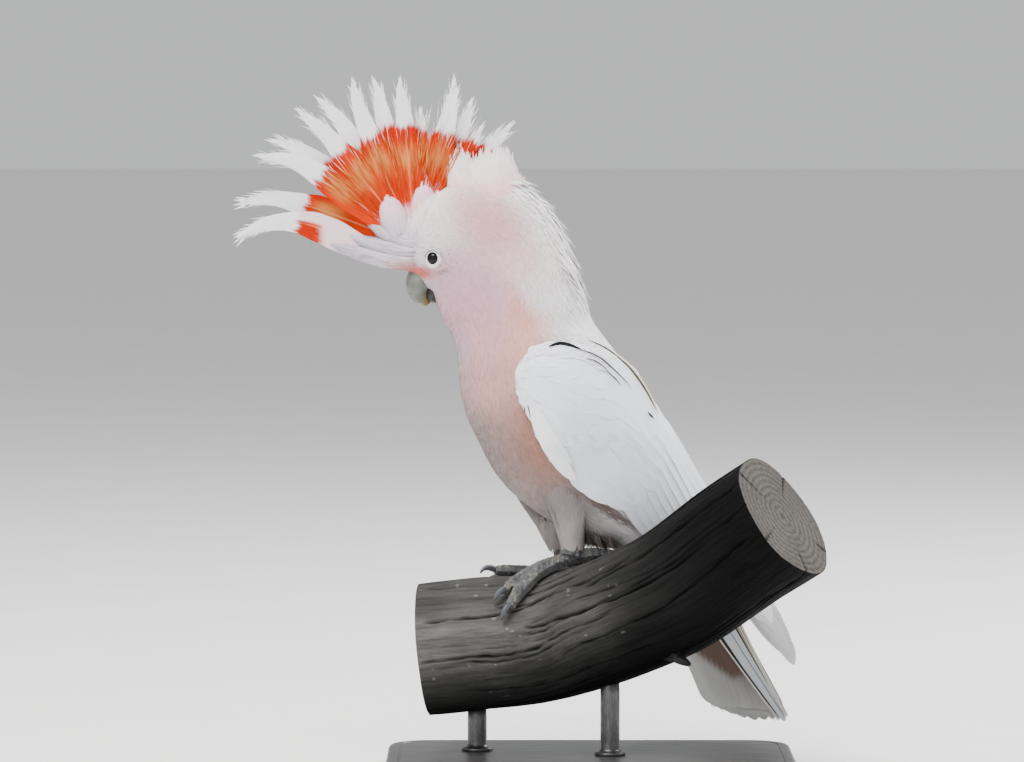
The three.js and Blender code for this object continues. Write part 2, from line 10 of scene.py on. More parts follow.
import bpy
import numpy as np
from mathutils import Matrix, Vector

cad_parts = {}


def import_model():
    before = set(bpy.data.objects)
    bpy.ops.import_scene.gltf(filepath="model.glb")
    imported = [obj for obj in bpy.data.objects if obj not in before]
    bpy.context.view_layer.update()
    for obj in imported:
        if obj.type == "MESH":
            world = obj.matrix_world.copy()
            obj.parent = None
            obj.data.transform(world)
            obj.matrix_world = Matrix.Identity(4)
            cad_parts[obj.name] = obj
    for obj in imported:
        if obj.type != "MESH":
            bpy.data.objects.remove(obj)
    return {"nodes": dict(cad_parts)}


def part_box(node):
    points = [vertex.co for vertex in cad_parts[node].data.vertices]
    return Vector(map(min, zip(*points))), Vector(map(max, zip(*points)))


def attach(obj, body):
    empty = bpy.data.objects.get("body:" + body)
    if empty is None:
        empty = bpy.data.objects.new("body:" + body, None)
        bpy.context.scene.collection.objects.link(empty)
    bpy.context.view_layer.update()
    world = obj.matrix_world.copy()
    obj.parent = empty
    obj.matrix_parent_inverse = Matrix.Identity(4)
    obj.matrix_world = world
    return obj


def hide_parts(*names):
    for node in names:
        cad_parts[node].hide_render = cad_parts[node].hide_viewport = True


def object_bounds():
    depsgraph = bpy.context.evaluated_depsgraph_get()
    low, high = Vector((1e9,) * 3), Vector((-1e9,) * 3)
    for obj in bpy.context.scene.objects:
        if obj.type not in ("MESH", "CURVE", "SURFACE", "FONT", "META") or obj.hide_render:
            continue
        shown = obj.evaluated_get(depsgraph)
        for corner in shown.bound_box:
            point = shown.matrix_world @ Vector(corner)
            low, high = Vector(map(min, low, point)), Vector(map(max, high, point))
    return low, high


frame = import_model()
cad_low, cad_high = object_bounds()

MM = 0.001
DEG = math.pi / 180
TURN = 2 * math.pi
COARSE = 1.0
rng = np.random.default_rng(7)

eye_boxes = [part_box("eye_left"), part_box("eye_right")]
BIRD_Y = sum(low.y + high.y for low, high in eye_boxes) / 4 / MM

# ------------------------------------------------------------------ camera, floor and lights
VIEW_CENTRE = Vector((-0.0484, BIRD_Y * MM, 0.2412))
VIEW_ELEVATION = 3 * DEG
VIEW_DISTANCE = 3.3
VIEW_WIDTH = 0.635  # how much of the bird's plane the picture takes in
SENSOR_WIDTH = 36
# Each light: direction from the middle of the part, size, power and colour.
LIGHTS = {
    "key": ((-0.6, -0.7, 2.0), 1.5, 108, (1, 0.99, 0.97)),
    "front": ((-1.2, -2.2, 0.7), 2.0, 15, (0.98, 0.985, 1)),
    "rim": ((1.6, 1.0, 1.3), 1.2, 80, (0.95, 0.975, 1)),
}
SKY, SKY_STRENGTH = (0.9, 0.91, 0.92, 1), 0.72


def aim(thing, target):
    """Turns a camera or light towards a point."""
    thing.rotation_euler = (target - thing.location).to_track_quat("-Z", "Y").to_euler()


def make_camera():
    data = bpy.data.cameras.new("camera")
    camera = bpy.data.objects.new("camera", data)
    bpy.context.scene.collection.objects.link(camera)
    back = Vector((0, -math.cos(VIEW_ELEVATION), math.sin(VIEW_ELEVATION)))
    camera.location = VIEW_CENTRE + back * VIEW_DISTANCE
    data.sensor_width = SENSOR_WIDTH
    data.lens = SENSOR_WIDTH * VIEW_DISTANCE / VIEW_WIDTH
    aim(camera, VIEW_CENTRE)
    bpy.context.scene.camera = camera


def area_light(name, place, target, size, power, colour):
    data = bpy.data.lights.new(name, "AREA")
    data.shape = "DISK"
    data.size = size
    data.energy = power
    data.color = colour
    lamp = bpy.data.objects.new(name, data)
    bpy.context.scene.collection.objects.link(lamp)
    lamp.location = place
    aim(lamp, target)


def make_lights():
    middle = (cad_low + cad_high) / 2
    for name, (away, size, power, colour) in LIGHTS.items():
        area_light(name, middle + Vector(away), middle, size, power, colour)
    world = bpy.data.worlds.new("studio")
    bpy.context.scene.world = world
    world.use_nodes = True
    light = world.node_tree.nodes["Background"]
    light.inputs["Color"].default_value = SKY
    light.inputs["Strength"].default_value = SKY_STRENGTH


# ------------------------------------------------------------------ materials
MATERIAL_SLOTS = {}  # the record's slot for each material; Blender may rename the material


class Shader:
    """A Principled material and short ways to add nodes to it."""

    def __init__(self, name, **sockets):
        self.material = bpy.data.materials.new(name)
        MATERIAL_SLOTS[self.material.name] = name
        self.material.use_nodes = True
        self.tree = self.material.node_tree
        self.shader = self.tree.nodes["Principled BSDF"]
        for socket, value in sockets.items():
            self.shader.inputs[socket.replace("_", " ")].default_value = value

    def node(self, kind, inputs=None, **settings):
        made = self.tree.nodes.new(kind)
        for setting, value in settings.items():
            setattr(made, setting, value)
        for socket, value in (inputs or {}).items():
            if isinstance(value, bpy.types.NodeSocket):
                self.tree.links.new(value, made.inputs[socket])
            else:
                made.inputs[socket].default_value = value
        return made

    def finish(self, colour, normal=None, roughness=None):
        """Joins colour, bump and roughness to the shader and gives the material."""
        for socket, value in (("Base Color", colour), ("Normal", normal), ("Roughness", roughness)):
            if value is not None:
                self.tree.links.new(value, self.shader.inputs[socket])
        return self.material

    def drawn(self, shade):
        """The colours painted on the mesh, darkened by a shade."""
        colour = self.node("ShaderNodeVertexColor", layer_name="Col").outputs["Color"]
        return self.mix(1.0, colour, shade, "MULTIPLY")

    def coordinates(self, scale=(1, 1, 1)):
        source = self.node("ShaderNodeTexCoord").outputs["Object"]
        return self.node("ShaderNodeMapping", {"Vector": source, "Scale": scale}).outputs[0]

    def uv(self, layer, scale=(1, 1, 1)):
        source = self.node("ShaderNodeUVMap", uv_map=layer).outputs[0]
        return self.node("ShaderNodeMapping", {"Vector": source, "Scale": scale}).outputs[0]

    def noise(self, vector, scale, detail=4.0, roughness=0.55):
        inputs = {"Vector": vector, "Scale": scale, "Detail": detail, "Roughness": roughness}
        return self.node("ShaderNodeTexNoise", inputs).outputs["Fac"]

    def cells(self, vector, scale, feature="F1"):
        inputs = {"Vector": vector, "Scale": scale}
        return self.node("ShaderNodeTexVoronoi", inputs, feature=feature).outputs["Distance"]

    def ramp(self, value, stops):
        """Colours along a value: [(place, (r, g, b)) ...]."""
        made = self.node("ShaderNodeValToRGB", {"Fac": value})
        elements = made.color_ramp.elements
        while len(elements) < len(stops):
            elements.new(0.5)
        for element, (place, colour) in zip(elements, stops):
            element.position = place
            element.color = (*colour, 1)
        return made.outputs["Color"]

    def grey(self, value, stops):
        return self.ramp(value, [(place, (level,) * 3) for place, level in stops])

    def mix(self, factor, a, b, blend="MIX"):
        made = self.node("ShaderNodeMix", data_type="RGBA", blend_type=blend)
        for index, value in ((0, factor), (6, a), (7, b)):
            if isinstance(value, bpy.types.NodeSocket):
                self.tree.links.new(value, made.inputs[index])
            else:
                made.inputs[index].default_value = value if index == 0 else (*value, 1)
        return made.outputs[2]

    def maths(self, kind, a, b):
        inputs = {0: a, 1: b}
        return self.node("ShaderNodeMath", inputs, operation=kind).outputs[0]

    def bump(self, height, distance, strength=0.6, under=None):
        inputs = {"Height": height, "Distance": distance, "Strength": strength}
        if under is not None:
            inputs["Normal"] = under
        return self.node("ShaderNodeBump", inputs).outputs[0]


def feather_material(name, barbs=26, relief=0.00025, tint=0.05, gloss=0.15):
    """Feather vanes: the drawn markings, faint fine barbs slanting off the shaft, soft sheen."""
    made = Shader(name, Roughness=0.78, Sheen_Weight=0.3 * gloss, Sheen_Roughness=0.5,
                  Specular_IOR_Level=gloss)
    place = made.node("ShaderNodeSeparateXYZ", {"Vector": made.uv("vane")}).outputs
    slant = made.maths("MULTIPLY", made.maths("ABSOLUTE", place["X"], 0.0), -0.55)
    height = made.maths("ADD", place["Y"], slant)
    wobble = made.noise(made.uv("vane", (2.2, 2.2, 1)), 3.0, 3.0)
    height = made.maths("ADD", height, made.maths("MULTIPLY", wobble, 0.12))
    combed = made.node("ShaderNodeCombineXYZ", {"X": made.maths("MULTIPLY", height, barbs)})
    streaks = made.noise(combed.outputs[0], 1.0, 3.0, 0.7)
    shade = made.grey(streaks, [(0.3, 1 - 2.2 * tint), (0.62, 1.0)])
    return made.finish(made.drawn(shade), made.bump(streaks, relief))


def skin_material():
    """Skin under the coat, with the coat's markings, fine pores and folds."""
    made = Shader("skin", Roughness=0.8)
    place = made.coordinates()
    shade = made.grey(made.noise(place, 900, 5.0), [(0.3, 0.82), (0.7, 1.0)])
    return made.finish(made.drawn(shade), made.bump(made.cells(place, 1100), 0.0003))


def horn_material():
    """The bill: grey-green horn with growth lines, yellowish and stained towards its tip."""
    made = Shader("horn", Roughness=0.42, Subsurface_Weight=0.06, Subsurface_Scale=0.002)
    lines = made.noise(made.coordinates(scale=(1, 1, 5)), 420, 5.0, 0.6)
    flakes = made.noise(made.coordinates(scale=(1, 1, 1.6)), 130, 4.0)
    shade = made.grey(lines, [(0.3, 0.74), (0.65, 1.0)])
    stain = made.ramp(flakes, [(0.36, (0.72, 0.69, 0.58)), (0.6, (1, 1, 1))])
    colour = made.mix(1.0, made.drawn(shade), stain, "MULTIPLY")
    return made.finish(colour, made.bump(lines, 0.0003),
                       made.grey(flakes, [(0.3, 0.62), (0.7, 0.36)]))


def eye_material():
    made = Shader("eye", Roughness=0.05, Specular_IOR_Level=0.22)
    rays = made.noise(made.coordinates(), 2600, 3.0)
    return made.finish(made.drawn(made.grey(rays, [(0.2, 0.5), (0.8, 1)])))


def foot_material():
    """Grey scaly feet: pale edges round each scale, darker in the creases, a greenish cast."""
    made = Shader("scaly_skin", Roughness=0.62)
    place = made.coordinates()
    scales = made.cells(place, 620, "DISTANCE_TO_EDGE")
    creases = made.grey(scales, [(0.0, 0.0), (0.12, 1.0)])
    mottle = made.noise(place, 160, 4.0)
    plate = made.ramp(mottle, [(0.32, (0.055, 0.055, 0.06)), (0.52, (0.12, 0.118, 0.125)),
                               (0.68, (0.17, 0.17, 0.1))])
    colour = made.mix(creases, (0.04, 0.038, 0.037), plate)
    low = made.bump(made.noise(place, 2400, 3.0), 0.0002, 0.5)
    return made.finish(colour, made.bump(creases, 0.0006, 0.7, low),
                       made.grey(mottle, [(0.3, 0.72), (0.7, 0.5)]))


def claw_material():
    made = Shader("claw", Roughness=0.36)
    lines = made.noise(made.coordinates(), 900, 5.0)
    shade = made.grey(lines, [(0.3, 0.7), (0.7, 1.0)])
    return made.finish(made.drawn(shade), made.bump(lines, 0.0002, 0.5))


def wood_material():
    """Bare dead wood: silvered by weather and lighter on its upper side by painted light, near
    black in cracks and below, the underside partly by painted shade.
    """
    made = Shader("weathered_wood", Roughness=0.78, Specular_IOR_Level=0.07)
    along = made.node("ShaderNodeAttribute", attribute_name="grain").outputs["Vector"]
    stretched = made.node("ShaderNodeMapping", {"Vector": along, "Scale": (1, 1, 0.09)}).outputs[0]
    grain = made.noise(stretched, 420, 7.0, 0.62)
    fibre = made.noise(stretched, 1500, 5.0, 0.7)
    patches = made.noise(made.coordinates(), 38, 5.0)
    colour = made.drawn(made.grey(grain, [(0.28, 0.5), (0.5, 0.9), (0.72, 1.0)]))
    colour = made.mix(0.7, colour, made.grey(fibre, [(0.3, 0.6), (0.7, 1.0)]), "MULTIPLY")
    colour = made.mix(0.6, colour, made.grey(patches, [(0.3, 0.65), (0.7, 1.0)]), "MULTIPLY")
    relief = made.bump(grain, 0.0014, 0.7, made.bump(fibre, 0.0005, 0.6))
    return made.finish(colour, relief, made.grey(grain, [(0.3, 0.9), (0.75, 0.62)]))


def lacquer_material():
    """The base: dark lacquered wood, with faint brush lines and worn edges."""
    made = Shader("stand_base", Roughness=0.42, Coat_Weight=0.25, Coat_Roughness=0.3)
    place = made.coordinates(scale=(1, 9, 9))
    lines = made.noise(place, 60, 6.0, 0.6)
    colour = made.ramp(lines, [(0.3, (0.019, 0.018, 0.018)), (0.7, (0.034, 0.032, 0.031))])
    bright = made.node("ShaderNodeNewGeometry").outputs["Pointiness"]
    worn = made.grey(bright, [(0.52, 0.0), (0.6, 0.5)])
    return made.finish(made.mix(worn, colour, (0.09, 0.08, 0.075)), made.bump(lines, 0.0002, 0.4),
                       made.grey(lines, [(0.3, 0.5), (0.7, 0.36)]))


def rod_material():
    made = Shader("stand_rod", Roughness=0.36, Metallic=0.85)
    lines = made.noise(made.coordinates(scale=(6, 6, 1)), 240, 4.0)
    colour = made.ramp(lines, [(0.3, (0.07, 0.07, 0.072)), (0.7, (0.12, 0.12, 0.12))])
    return made.finish(colour, made.bump(lines, 0.0001, 0.3),
                       made.grey(lines, [(0.3, 0.46), (0.7, 0.3)]))


def floor_material():
    made = Shader("floor", Roughness=0.9)
    grain = made.noise(made.coordinates(), 14, 3.0)
    colour = made.ramp(grain, [(0.3, (0.83, 0.825, 0.81)), (0.7, (0.86, 0.855, 0.84))])
    return made.finish(colour)


# ------------------------------------------------------------------ meshes
def world(points):
    """Millimetres in the bird's frame to metres in the row frame."""
    return (np.asarray(points, float) + [0, BIRD_Y, 0]) * MM


def make_piece(name, points, faces, material, nodes, colours=None, uvs=None, slot=None,
               smooth=True):
    """A mesh from arrays. faces is a list of (n, 3) or (n, 4) index arrays."""
    mesh = bpy.data.meshes.new(name)
    points = np.ascontiguousarray(world(points), np.float32)
    loops = np.concatenate([np.asarray(f).ravel() for f in faces]).astype(np.int32)
    counts = np.concatenate([np.full(len(f), np.shape(f)[1]) for f in faces]).astype(np.int32)
    mesh.vertices.add(len(points))
    mesh.vertices.foreach_set("co", points.ravel())
    mesh.loops.add(len(loops))
    mesh.loops.foreach_set("vertex_index", loops)
    mesh.polygons.add(len(counts))
    starts = np.concatenate([[0], np.cumsum(counts)[:-1]]).astype(np.int32)
    mesh.polygons.foreach_set("loop_start", starts)
    mesh.polygons.foreach_set("loop_total", counts)
    mesh.polygons.foreach_set("use_smooth", np.full(len(counts), smooth))
    mesh.update(calc_edges=True)
    for layer, uv in (uvs or {}).items():
        made = mesh.uv_layers.new(name=layer)
        made.data.foreach_set("uv", np.ascontiguousarray(uv[loops], np.float32).ravel())
    if colours is not None:
        paint_vertices(mesh, colours)
    piece = bpy.data.objects.new(name, mesh)
    bpy.context.scene.collection.objects.link(piece)
    return dress(piece, material, nodes, slot)


def read(elements, attribute, width=1, kind=np.float32):
    """An attribute of a mesh's elements as rows of an array."""
    values = np.zeros(len(elements) * width, kind)
    elements.foreach_get(attribute, values)
    return values.reshape(-1, width)


def soften(piece, outward, share):
    """Turns a coat's shading towards the body's own: soft vanes take light as one surface."""
    mesh = piece.data
    sides = read(mesh.polygons, "loop_total", kind=np.int32)[:, 0]
    own = np.repeat(read(mesh.polygons, "normal", 3), sides, axis=0)
    towards = outward[read(mesh.loops, "vertex_index", kind=np.int32)[:, 0]]
    facing = np.where((own * towards).sum(1, keepdims=True) < 0, -1.0, 1.0)
    mesh.normals_split_custom_set(unit(own * (1 - share) + towards * facing * share).tolist())


def paint_vertices(mesh, colours):
    layer = mesh.color_attributes.new("Col", "FLOAT_COLOR", "POINT")
    full = np.ones((len(mesh.vertices), 4), np.float32)
    full[:, :3] = np.clip(colours, 0, 1)
    layer.data.foreach_set("color", full.ravel())


def dress(piece, material, nodes=(), slot=None):
    """Gives a piece its material and tells the frame of it. The slot it works out, the material's
    own unless another is given, is not used."""
    slot = slot or MATERIAL_SLOTS[material.name]
    piece.data.materials.clear()
    piece.data.materials.append(material)
    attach(piece, "root")
    if nodes:
        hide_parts(*nodes)
    return piece


def one_surface(piece, voxel, rounds):
    """Replaces a piece's mesh by one smooth skin over all of it, relaxed over some rounds."""
    remesh = piece.modifiers.new("one", "REMESH")
    remesh.mode = "VOXEL"
    remesh.voxel_size = voxel * MM
    relax = piece.modifiers.new("soft", "SMOOTH")
    relax.factor, relax.iterations = 0.5, rounds
    graph = bpy.context.evaluated_depsgraph_get()
    mesh = bpy.data.meshes.new_from_object(piece.evaluated_get(graph))
    piece.modifiers.clear()
    piece.data = mesh
    for polygon in mesh.polygons:
        polygon.use_smooth = True
    return mesh


def mesh_points(mesh):
    """A mesh's vertices and normals, in the bird's frame."""
    return read(mesh.vertices, "co", 3) / MM - [0, BIRD_Y, 0], read(mesh.vertices, "normal", 3)


def set_points(mesh, points):
    mesh.vertices.foreach_set("co", world(points).astype(np.float32).ravel())
    mesh.update()


def full_turn(count):
    """Evenly spaced angles round a circle."""
    return np.linspace(0, TURN, count, endpoint=False)


def grid_faces(rows, columns):
    """Quads over a grid of points, row by row, its last column joined to its first."""
    i, k = np.meshgrid(np.arange(rows - 1), np.arange(columns), indexing="ij")
    i, k = i.ravel(), k.ravel()
    n = (k + 1) % columns
    return np.stack([i * columns + k, i * columns + n, (i + 1) * columns + n,
                     (i + 1) * columns + k], 1)


def tube(rings):
    """Points and faces of a closed loft through rings (rows, sides, 3)."""
    rows, sides, _ = rings.shape
    points = np.vstack([rings.reshape(-1, 3), rings[0].mean(0), rings[-1].mean(0)])
    k = np.arange(sides)
    n = (k + 1) % sides
    first, last, base = rows * sides, rows * sides + 1, (rows - 1) * sides
    start = np.stack([n, k, np.full(sides, first)], 1)
    end = np.stack([base + k, base + n, np.full(sides, last)], 1)
    return points, [grid_faces(rows, sides), start, end]


def joined(parts):
    """Several (points, faces) as one."""
    points, faces, first = [], [], 0
    for some, made in parts:
        points.append(some)
        faces += [f + first for f in made]
        first += len(some)
    return np.vstack(points), faces


def blend(colour, tone, share):
    """Colours moved towards a tone, by a share for each of them."""
    return colour + (np.array(tone) - colour) * np.asarray(share)[..., None]


def smooth_step(low, high, value):
    t = np.clip((value - low) / (high - low), 0, 1)
    return t * t * (3 - 2 * t)


def unit(v):
    return v / np.maximum(np.linalg.norm(v, axis=-1, keepdims=True), 1e-9)


def hash_noise(points, scale, seed, octaves=3):
    """Smooth value noise at points (n, 3), about -1 to 1."""
    total, weight = np.zeros(len(points)), 0.0
    for octave in range(octaves):
        p = points / (scale / 2**octave) + 17.3 * (seed + octave)
        base = np.floor(p).astype(np.int64)
        f = p - base
        f = f * f * (3 - 2 * f)
        value = np.zeros(len(points))
        for corner in range(8):
            bits = np.array([corner & 1, corner >> 1 & 1, corner >> 2 & 1])
            c = base + bits
            h = (c[:, 0] * 73856093) ^ (c[:, 1] * 19349663) ^ (c[:, 2] * 83492791)
            h = (h * 2654435761) & 0xFFFFFFFF
            share = np.prod(np.where(bits, f, 1 - f), axis=1)
            value += share * (h / 2**31 - 1)
        total += value / 2**octave
        weight += 1 / 2**octave
    return total / weight


# ------------------------------------------------------------------ curves
def neighbours(rows, at):
    """The four rows round each place in a table, and how far it lies between the middle two."""
    at = np.clip(np.asarray(at, float), 0, len(rows) - 1)
    i = np.minimum(at.astype(int), len(rows) - 2)
    ends = np.vstack([2 * rows[0] - rows[1], rows, 2 * rows[-1] - rows[-2]])
    return *(ends[i + k] for k in range(4)), (at - i)[..., None]


def hermite(p1, p2, m1, m2, f):
    """Between two points with given slopes."""
    return ((2 * p1 - 2 * p2 + m1 + m2) * f**3 + (-3 * p1 + 3 * p2 - 2 * m1 - m2) * f**2
            + m1 * f + p1)


def smooth_rows(rows, at):
    """Values between the rows of a table, on an even Catmull-Rom curve."""
    p0, p1, p2, p3, f = neighbours(np.asarray(rows, float), at)
    return hermite(p1, p2, (p2 - p0) / 2, (p3 - p1) / 2, f)


def curve(points, share):
    """A centripetal Catmull-Rom curve through points, at shares 0 to 1."""
    rows = np.asarray(points, float)
    share = np.clip(np.asarray(share, float), 0, 1)
    p0, p1, p2, p3, f = neighbours(rows, share * (len(rows) - 1))
    d0, d1, d2 = (np.sqrt(np.linalg.norm(b - a, axis=-1, keepdims=True)) + 1e-9
                  for a, b in ((p0, p1), (p1, p2), (p2, p3)))
    m1 = ((p1 - p0) / d0 - (p2 - p0) / (d0 + d1) + (p2 - p1) / d1) * d1
    m2 = ((p2 - p1) / d1 - (p3 - p1) / (d1 + d2) + (p3 - p2) / d2) * d1
    return hermite(p1, p2, m1, m2, f)


def curve_heading(points, share):
    after, before = np.clip(share + 1e-3, 0, 1), np.clip(share - 1e-3, 0, 1)
    return unit(curve(points, after) - curve(points, before))


def table(stops, at):
    """Straight-line values between named stops {place: value}."""
    places = sorted(stops)
    return np.interp(at, places, [stops[p] for p in places])


# ------------------------------------------------------------------ the body's form
# Each station, forehead to tail coverts: throat-or-belly point, crown-or-back point, half width.
BODY = [
    [(-117, 315), (-95, 358), 13],
    [(-110, 306), (-68, 371), 20],
    [(-99, 297), (-45, 367), 23.5],
    [(-95, 288), (-28, 352), 25.5],
    [(-91, 279), (-17, 334), 27.5],
    [(-87, 272), (-10, 315), 29],
    [(-84, 265), (-5, 297), 30.5],
    [(-82, 256), (1, 280), 32.5],
    [(-81, 239), (10, 267), 35],
    [(-77, 220), (17, 258), 38],
    [(-69, 203), (23, 248), 40],
    [(-61, 187), (28, 238), 41],
    [(-51, 174), (33, 221), 40],
    [(-37, 162), (41, 205), 36],
    [(-19, 150), (48, 189), 31],
    [(0, 142), (56, 172), 26],
    [(17, 135), (63, 156), 21],
    [(33, 123), (70, 139), 17],
    [(48, 107), (80, 120), 14],
    [(63, 84), (89, 94), 9],
]
FOREHEAD_DEPTH = 9
SWAY_FROM, SWAY_SHARE = 205, 0.16
BODY_ROWS = np.array([[f[0], f[1], b[0], b[1], half] for f, b, half in BODY], float)


def sway(points):
    """The lower body swings to the right to pass behind the branch."""
    points[..., 1] += np.maximum(0, SWAY_FROM - points[..., 2]) * SWAY_SHARE
    return points


def body_point(u, phi, grow=0.0):
    """The trunk's surface. u is the station, from -1 at the forehead's tip; phi is 0 at the back,
    a quarter turn on the bird's right side and half a turn at the belly."""
    u, phi, grow = np.broadcast_arrays(np.asarray(u, float), phi, grow)
    row = smooth_rows(BODY_ROWS, np.maximum(u, 0))
    front, back = row[..., 0:2], row[..., 2:4]
    middle = (front + back) / 2
    across = back - front
    reach = np.linalg.norm(across, axis=-1) / 2
    across = across / (2 * reach[..., None])
    beyond = np.clip(-u, 0, 1) * math.pi / 2
    shrink = np.cos(beyond)
    ahead = (FOREHEAD_DEPTH + grow) * np.sin(beyond)
    deep = (reach + grow) * np.cos(phi) * shrink
    x = middle[..., 0] + across[..., 0] * deep - across[..., 1] * ahead
    z = middle[..., 1] + across[..., 1] * deep + across[..., 0] * ahead
    y = (row[..., 4] + grow) * np.sin(phi) * shrink
    return sway(np.stack([x, y, z], -1))


def nape_share(u, phi):
    """Where the crown's and nape's feathers stand up in points: 0 to 1."""
    along = smooth_step(0.9, 2.2, u) * (1 - smooth_step(5.2, 6.6, u))
    return along * smooth_step(0.15, 0.9, np.cos(phi))


def coat_depth(u, phi):
    """How far the skin lies inside the coat's outline."""
    base = table({-1: 0.8, 0: 0.9, 2.5: 1.2, 6: 1.6, 10: 2.1, 15: 2.2, 19: 2}, u)
    return base + 1.4 * nape_share(u, phi)


def skin_point(u, phi):
    return body_point(u, phi, -coat_depth(u, phi))


# ------------------------------------------------------------------ the wings' form
# One folded wing, shoulder to tip: upper edge x, z, depth; lower edge x, z, depth; bulge;
# thickness. Depth is measured sideways from the bird's plane of symmetry.
WING = np.array([
    [-44, 252, 33, -46, 246, 34, 2, 4],
    [-34, 263, 35, -43, 233, 39, 5, 9],
    [-17, 265, 32, -37, 224, 41, 7, 12],
    [6, 260, 24, -28, 205, 44, 8, 13],
    [24, 249, 16, -18, 191, 44, 9, 13],
    [36, 233, 12, -7, 180, 42, 9, 13],
    [47, 214, 10, 8, 170, 39, 8, 12],
    [58, 195, 9, 22, 160, 34, 8, 11],
    [68, 177, 9, 35, 148, 29, 7, 9],
    [80, 156, 9, 52, 130, 23, 5, 7],
    [94, 131, 10, 75, 113, 19, 4, 5],
    [109, 107, 10.5, 98, 96.5, 16.5, 3, 3.5],
    [121, 93, 11.5, 108, 84.5, 15.5, 2.4, 2.6],
    [128, 78, 11, 118.5, 72.5, 13, 1.8, 2],
    [129, 65, 11, 126.5, 61.5, 12, 1, 1.4],
], float)


def wing_point(w, s, side, lift=0.0):
    """The wing's outer face. w is the station, s runs from the upper edge (0) to the lower (1)."""
    w, s = np.broadcast_arrays(np.asarray(w, float), s)
    row = smooth_rows(WING, w)
    before, after = smooth_rows(WING, w - 0.1), smooth_rows(WING, w + 0.1)
    upper, lower = row[..., [0, 2, 1]], row[..., [3, 5, 4]]
    down = lower - upper
    along = after[..., [0, 2, 1]] - before[..., [0, 2, 1]]
    out = unit(np.cross(down, along))
    out = np.where(out[..., 1:2] < 0, -out, out)
    rise = row[..., 6] * 4 * s * (1 - s) + lift
    point = upper + down * s[..., None] + out * np.asarray(rise)[..., None]
    point[..., 1] *= side
    return sway(point)


def wing_width(w):
    row = smooth_rows(WING, w)
    return np.linalg.norm(row[..., 0:3] - row[..., 3:6], axis=-1)


# ------------------------------------------------------------------ the legs' form
HIPS = {"left": ((-15, -13, 184), (-11, -16, 140)), "right": ((-34, 16, 184), (-19, 15, 138))}
SHIN_RADII = [18, 14.5, 9.8, 7.4]
SHIN_COAT = 1.1  # how far the skin lies inside the shin's coat


def shin_point(side_name, t, phi, grow=0.0):
    """A feathered shin, hip to ankle. phi is 0 behind the leg and a quarter turn on its right."""
    hip, ankle = (np.array(p, float) for p in HIPS[side_name])
    t, phi = np.broadcast_arrays(np.asarray(t, float), phi)
    line = hip + (ankle - hip) * t[..., None]
    line[..., 0] -= 2 * t * (1 - t)
    heading = unit(ankle - hip)
    side = unit(np.array([0, 1, 0]) - heading * heading[1])
    up = np.cross(side, heading)
    radius = curve(np.array(SHIN_RADII)[:, None], t)[..., 0] + grow
    return (line + side * (radius * np.sin(phi))[..., None]
            - up * (radius * np.cos(phi))[..., None])


# ------------------------------------------------------------------ the coat's markings and painted shade
WHITE = (0.9, 0.88, 0.91)
# Soft ellipses seen from the side, some of them painted shade: centre x, z; half sizes; turn in
# degrees; colour; strength.
MARKS = [
    ((-50, 222), (40, 92), 22, (0.28, 0.17, 0.14), 0.95),  # the pink of breast and belly
    ((-58, 250), (28, 22), 10, (0.6, 0.33, 0.31), 0.85),
    ((-36, 212), (12, 36), 25, (0.38, 0.15, 0.1), 0.5),  # warmer by the wing's edge
    ((-68, 200), (12, 36), 24, (0.23, 0.18, 0.18), 0.6),  # painted shade down the front of the breast
    ((-52, 281), (36, 17), -10, (0.8, 0.37, 0.25), 0.8),  # the band round the neck
    ((-50, 330), (26, 24), -35, (0.8, 0.56, 0.54), 0.75),  # the side of the nape
    ((-70, 345), (27, 20), -25, (0.62, 0.3, 0.29), 0.8),  # the crown behind the crest
    ((-76, 300), (30, 32), 10, (0.58, 0.33, 0.42), 0.95),  # the cheek
    ((-104, 336), (15, 18), 0, (0.8, 0.62, 0.65), 0.8),  # the brow
    ((-90, 272), (12, 15), 20, (0.48, 0.33, 0.4), 0.6),  # the throat
    ((-46, 294), (6, 17), 30, (0.74, 0.26, 0.19), 0.5),  # a warm streak behind the cheek
    ((-22, 336), (15, 34), 22, (0.95, 0.86, 0.87), 0.8),  # the nape
    ((-124, 328), (18, 15), -30, (0.53, 0.47, 0.55), 0.9),  # the forehead
    ((-109.5, 311), (11, 4.4), -12, (0.56, 0.11, 0.08), 0.95),  # the red above the bill
    ((-93, 310.5), (4.5, 1.1), 20, (0.2, 0.11, 0.11), 0.6),  # painted shade in the fold under the eye
    ((-99.5, 293), (3.2, 5), 20, (0.02, 0.015, 0.015), 0.95),  # painted shade in the mouth's corner
    ((-2, 272), (26, 22), 0, (0.94, 0.95, 1.0), 0.95),  # the mantle
    ((-20, 170), (36, 20), 38, (0.22, 0.205, 0.2), 0.85),  # the shaded belly
    ((-21, 158), (15, 0.9), -72, (0.07, 0.055, 0.055), 0.75),  # painted shade in the gap before the near shin
    ((6, 168), (27, 4), -37, (0.12, 0.07, 0.055), 0.85),  # painted shadow under the wing's lower edge
    ((3, 145), (9, 9.5), 0, (0.13, 0.105, 0.1), 0.95),  # painted shade over the vent
    ((34, 128), (26, 16), 45, (0.5, 0.43, 0.41), 0.8),  # under the tail: the coverts' salmon, darkened by painted shade
]


def marks_at(points):
    """The coat's colour at points in the bird's frame, its painted shade included."""
    x, z = points[..., 0], points[..., 2]
    colour = np.tile(np.array(WHITE), (*points.shape[:-1], 1))
    for (cx, cz), (rx, rz), turn, tone, strength in MARKS:
        c, s = math.cos(turn * DEG), math.sin(turn * DEG)
        along = ((x - cx) * c + (z - cz) * s) / rx
        across = ((z - cz) * c - (x - cx) * s) / rz
        share = strength * np.exp(-(along**2 + across**2) ** 1.6)
        colour = blend(colour, tone, share)
    return colour


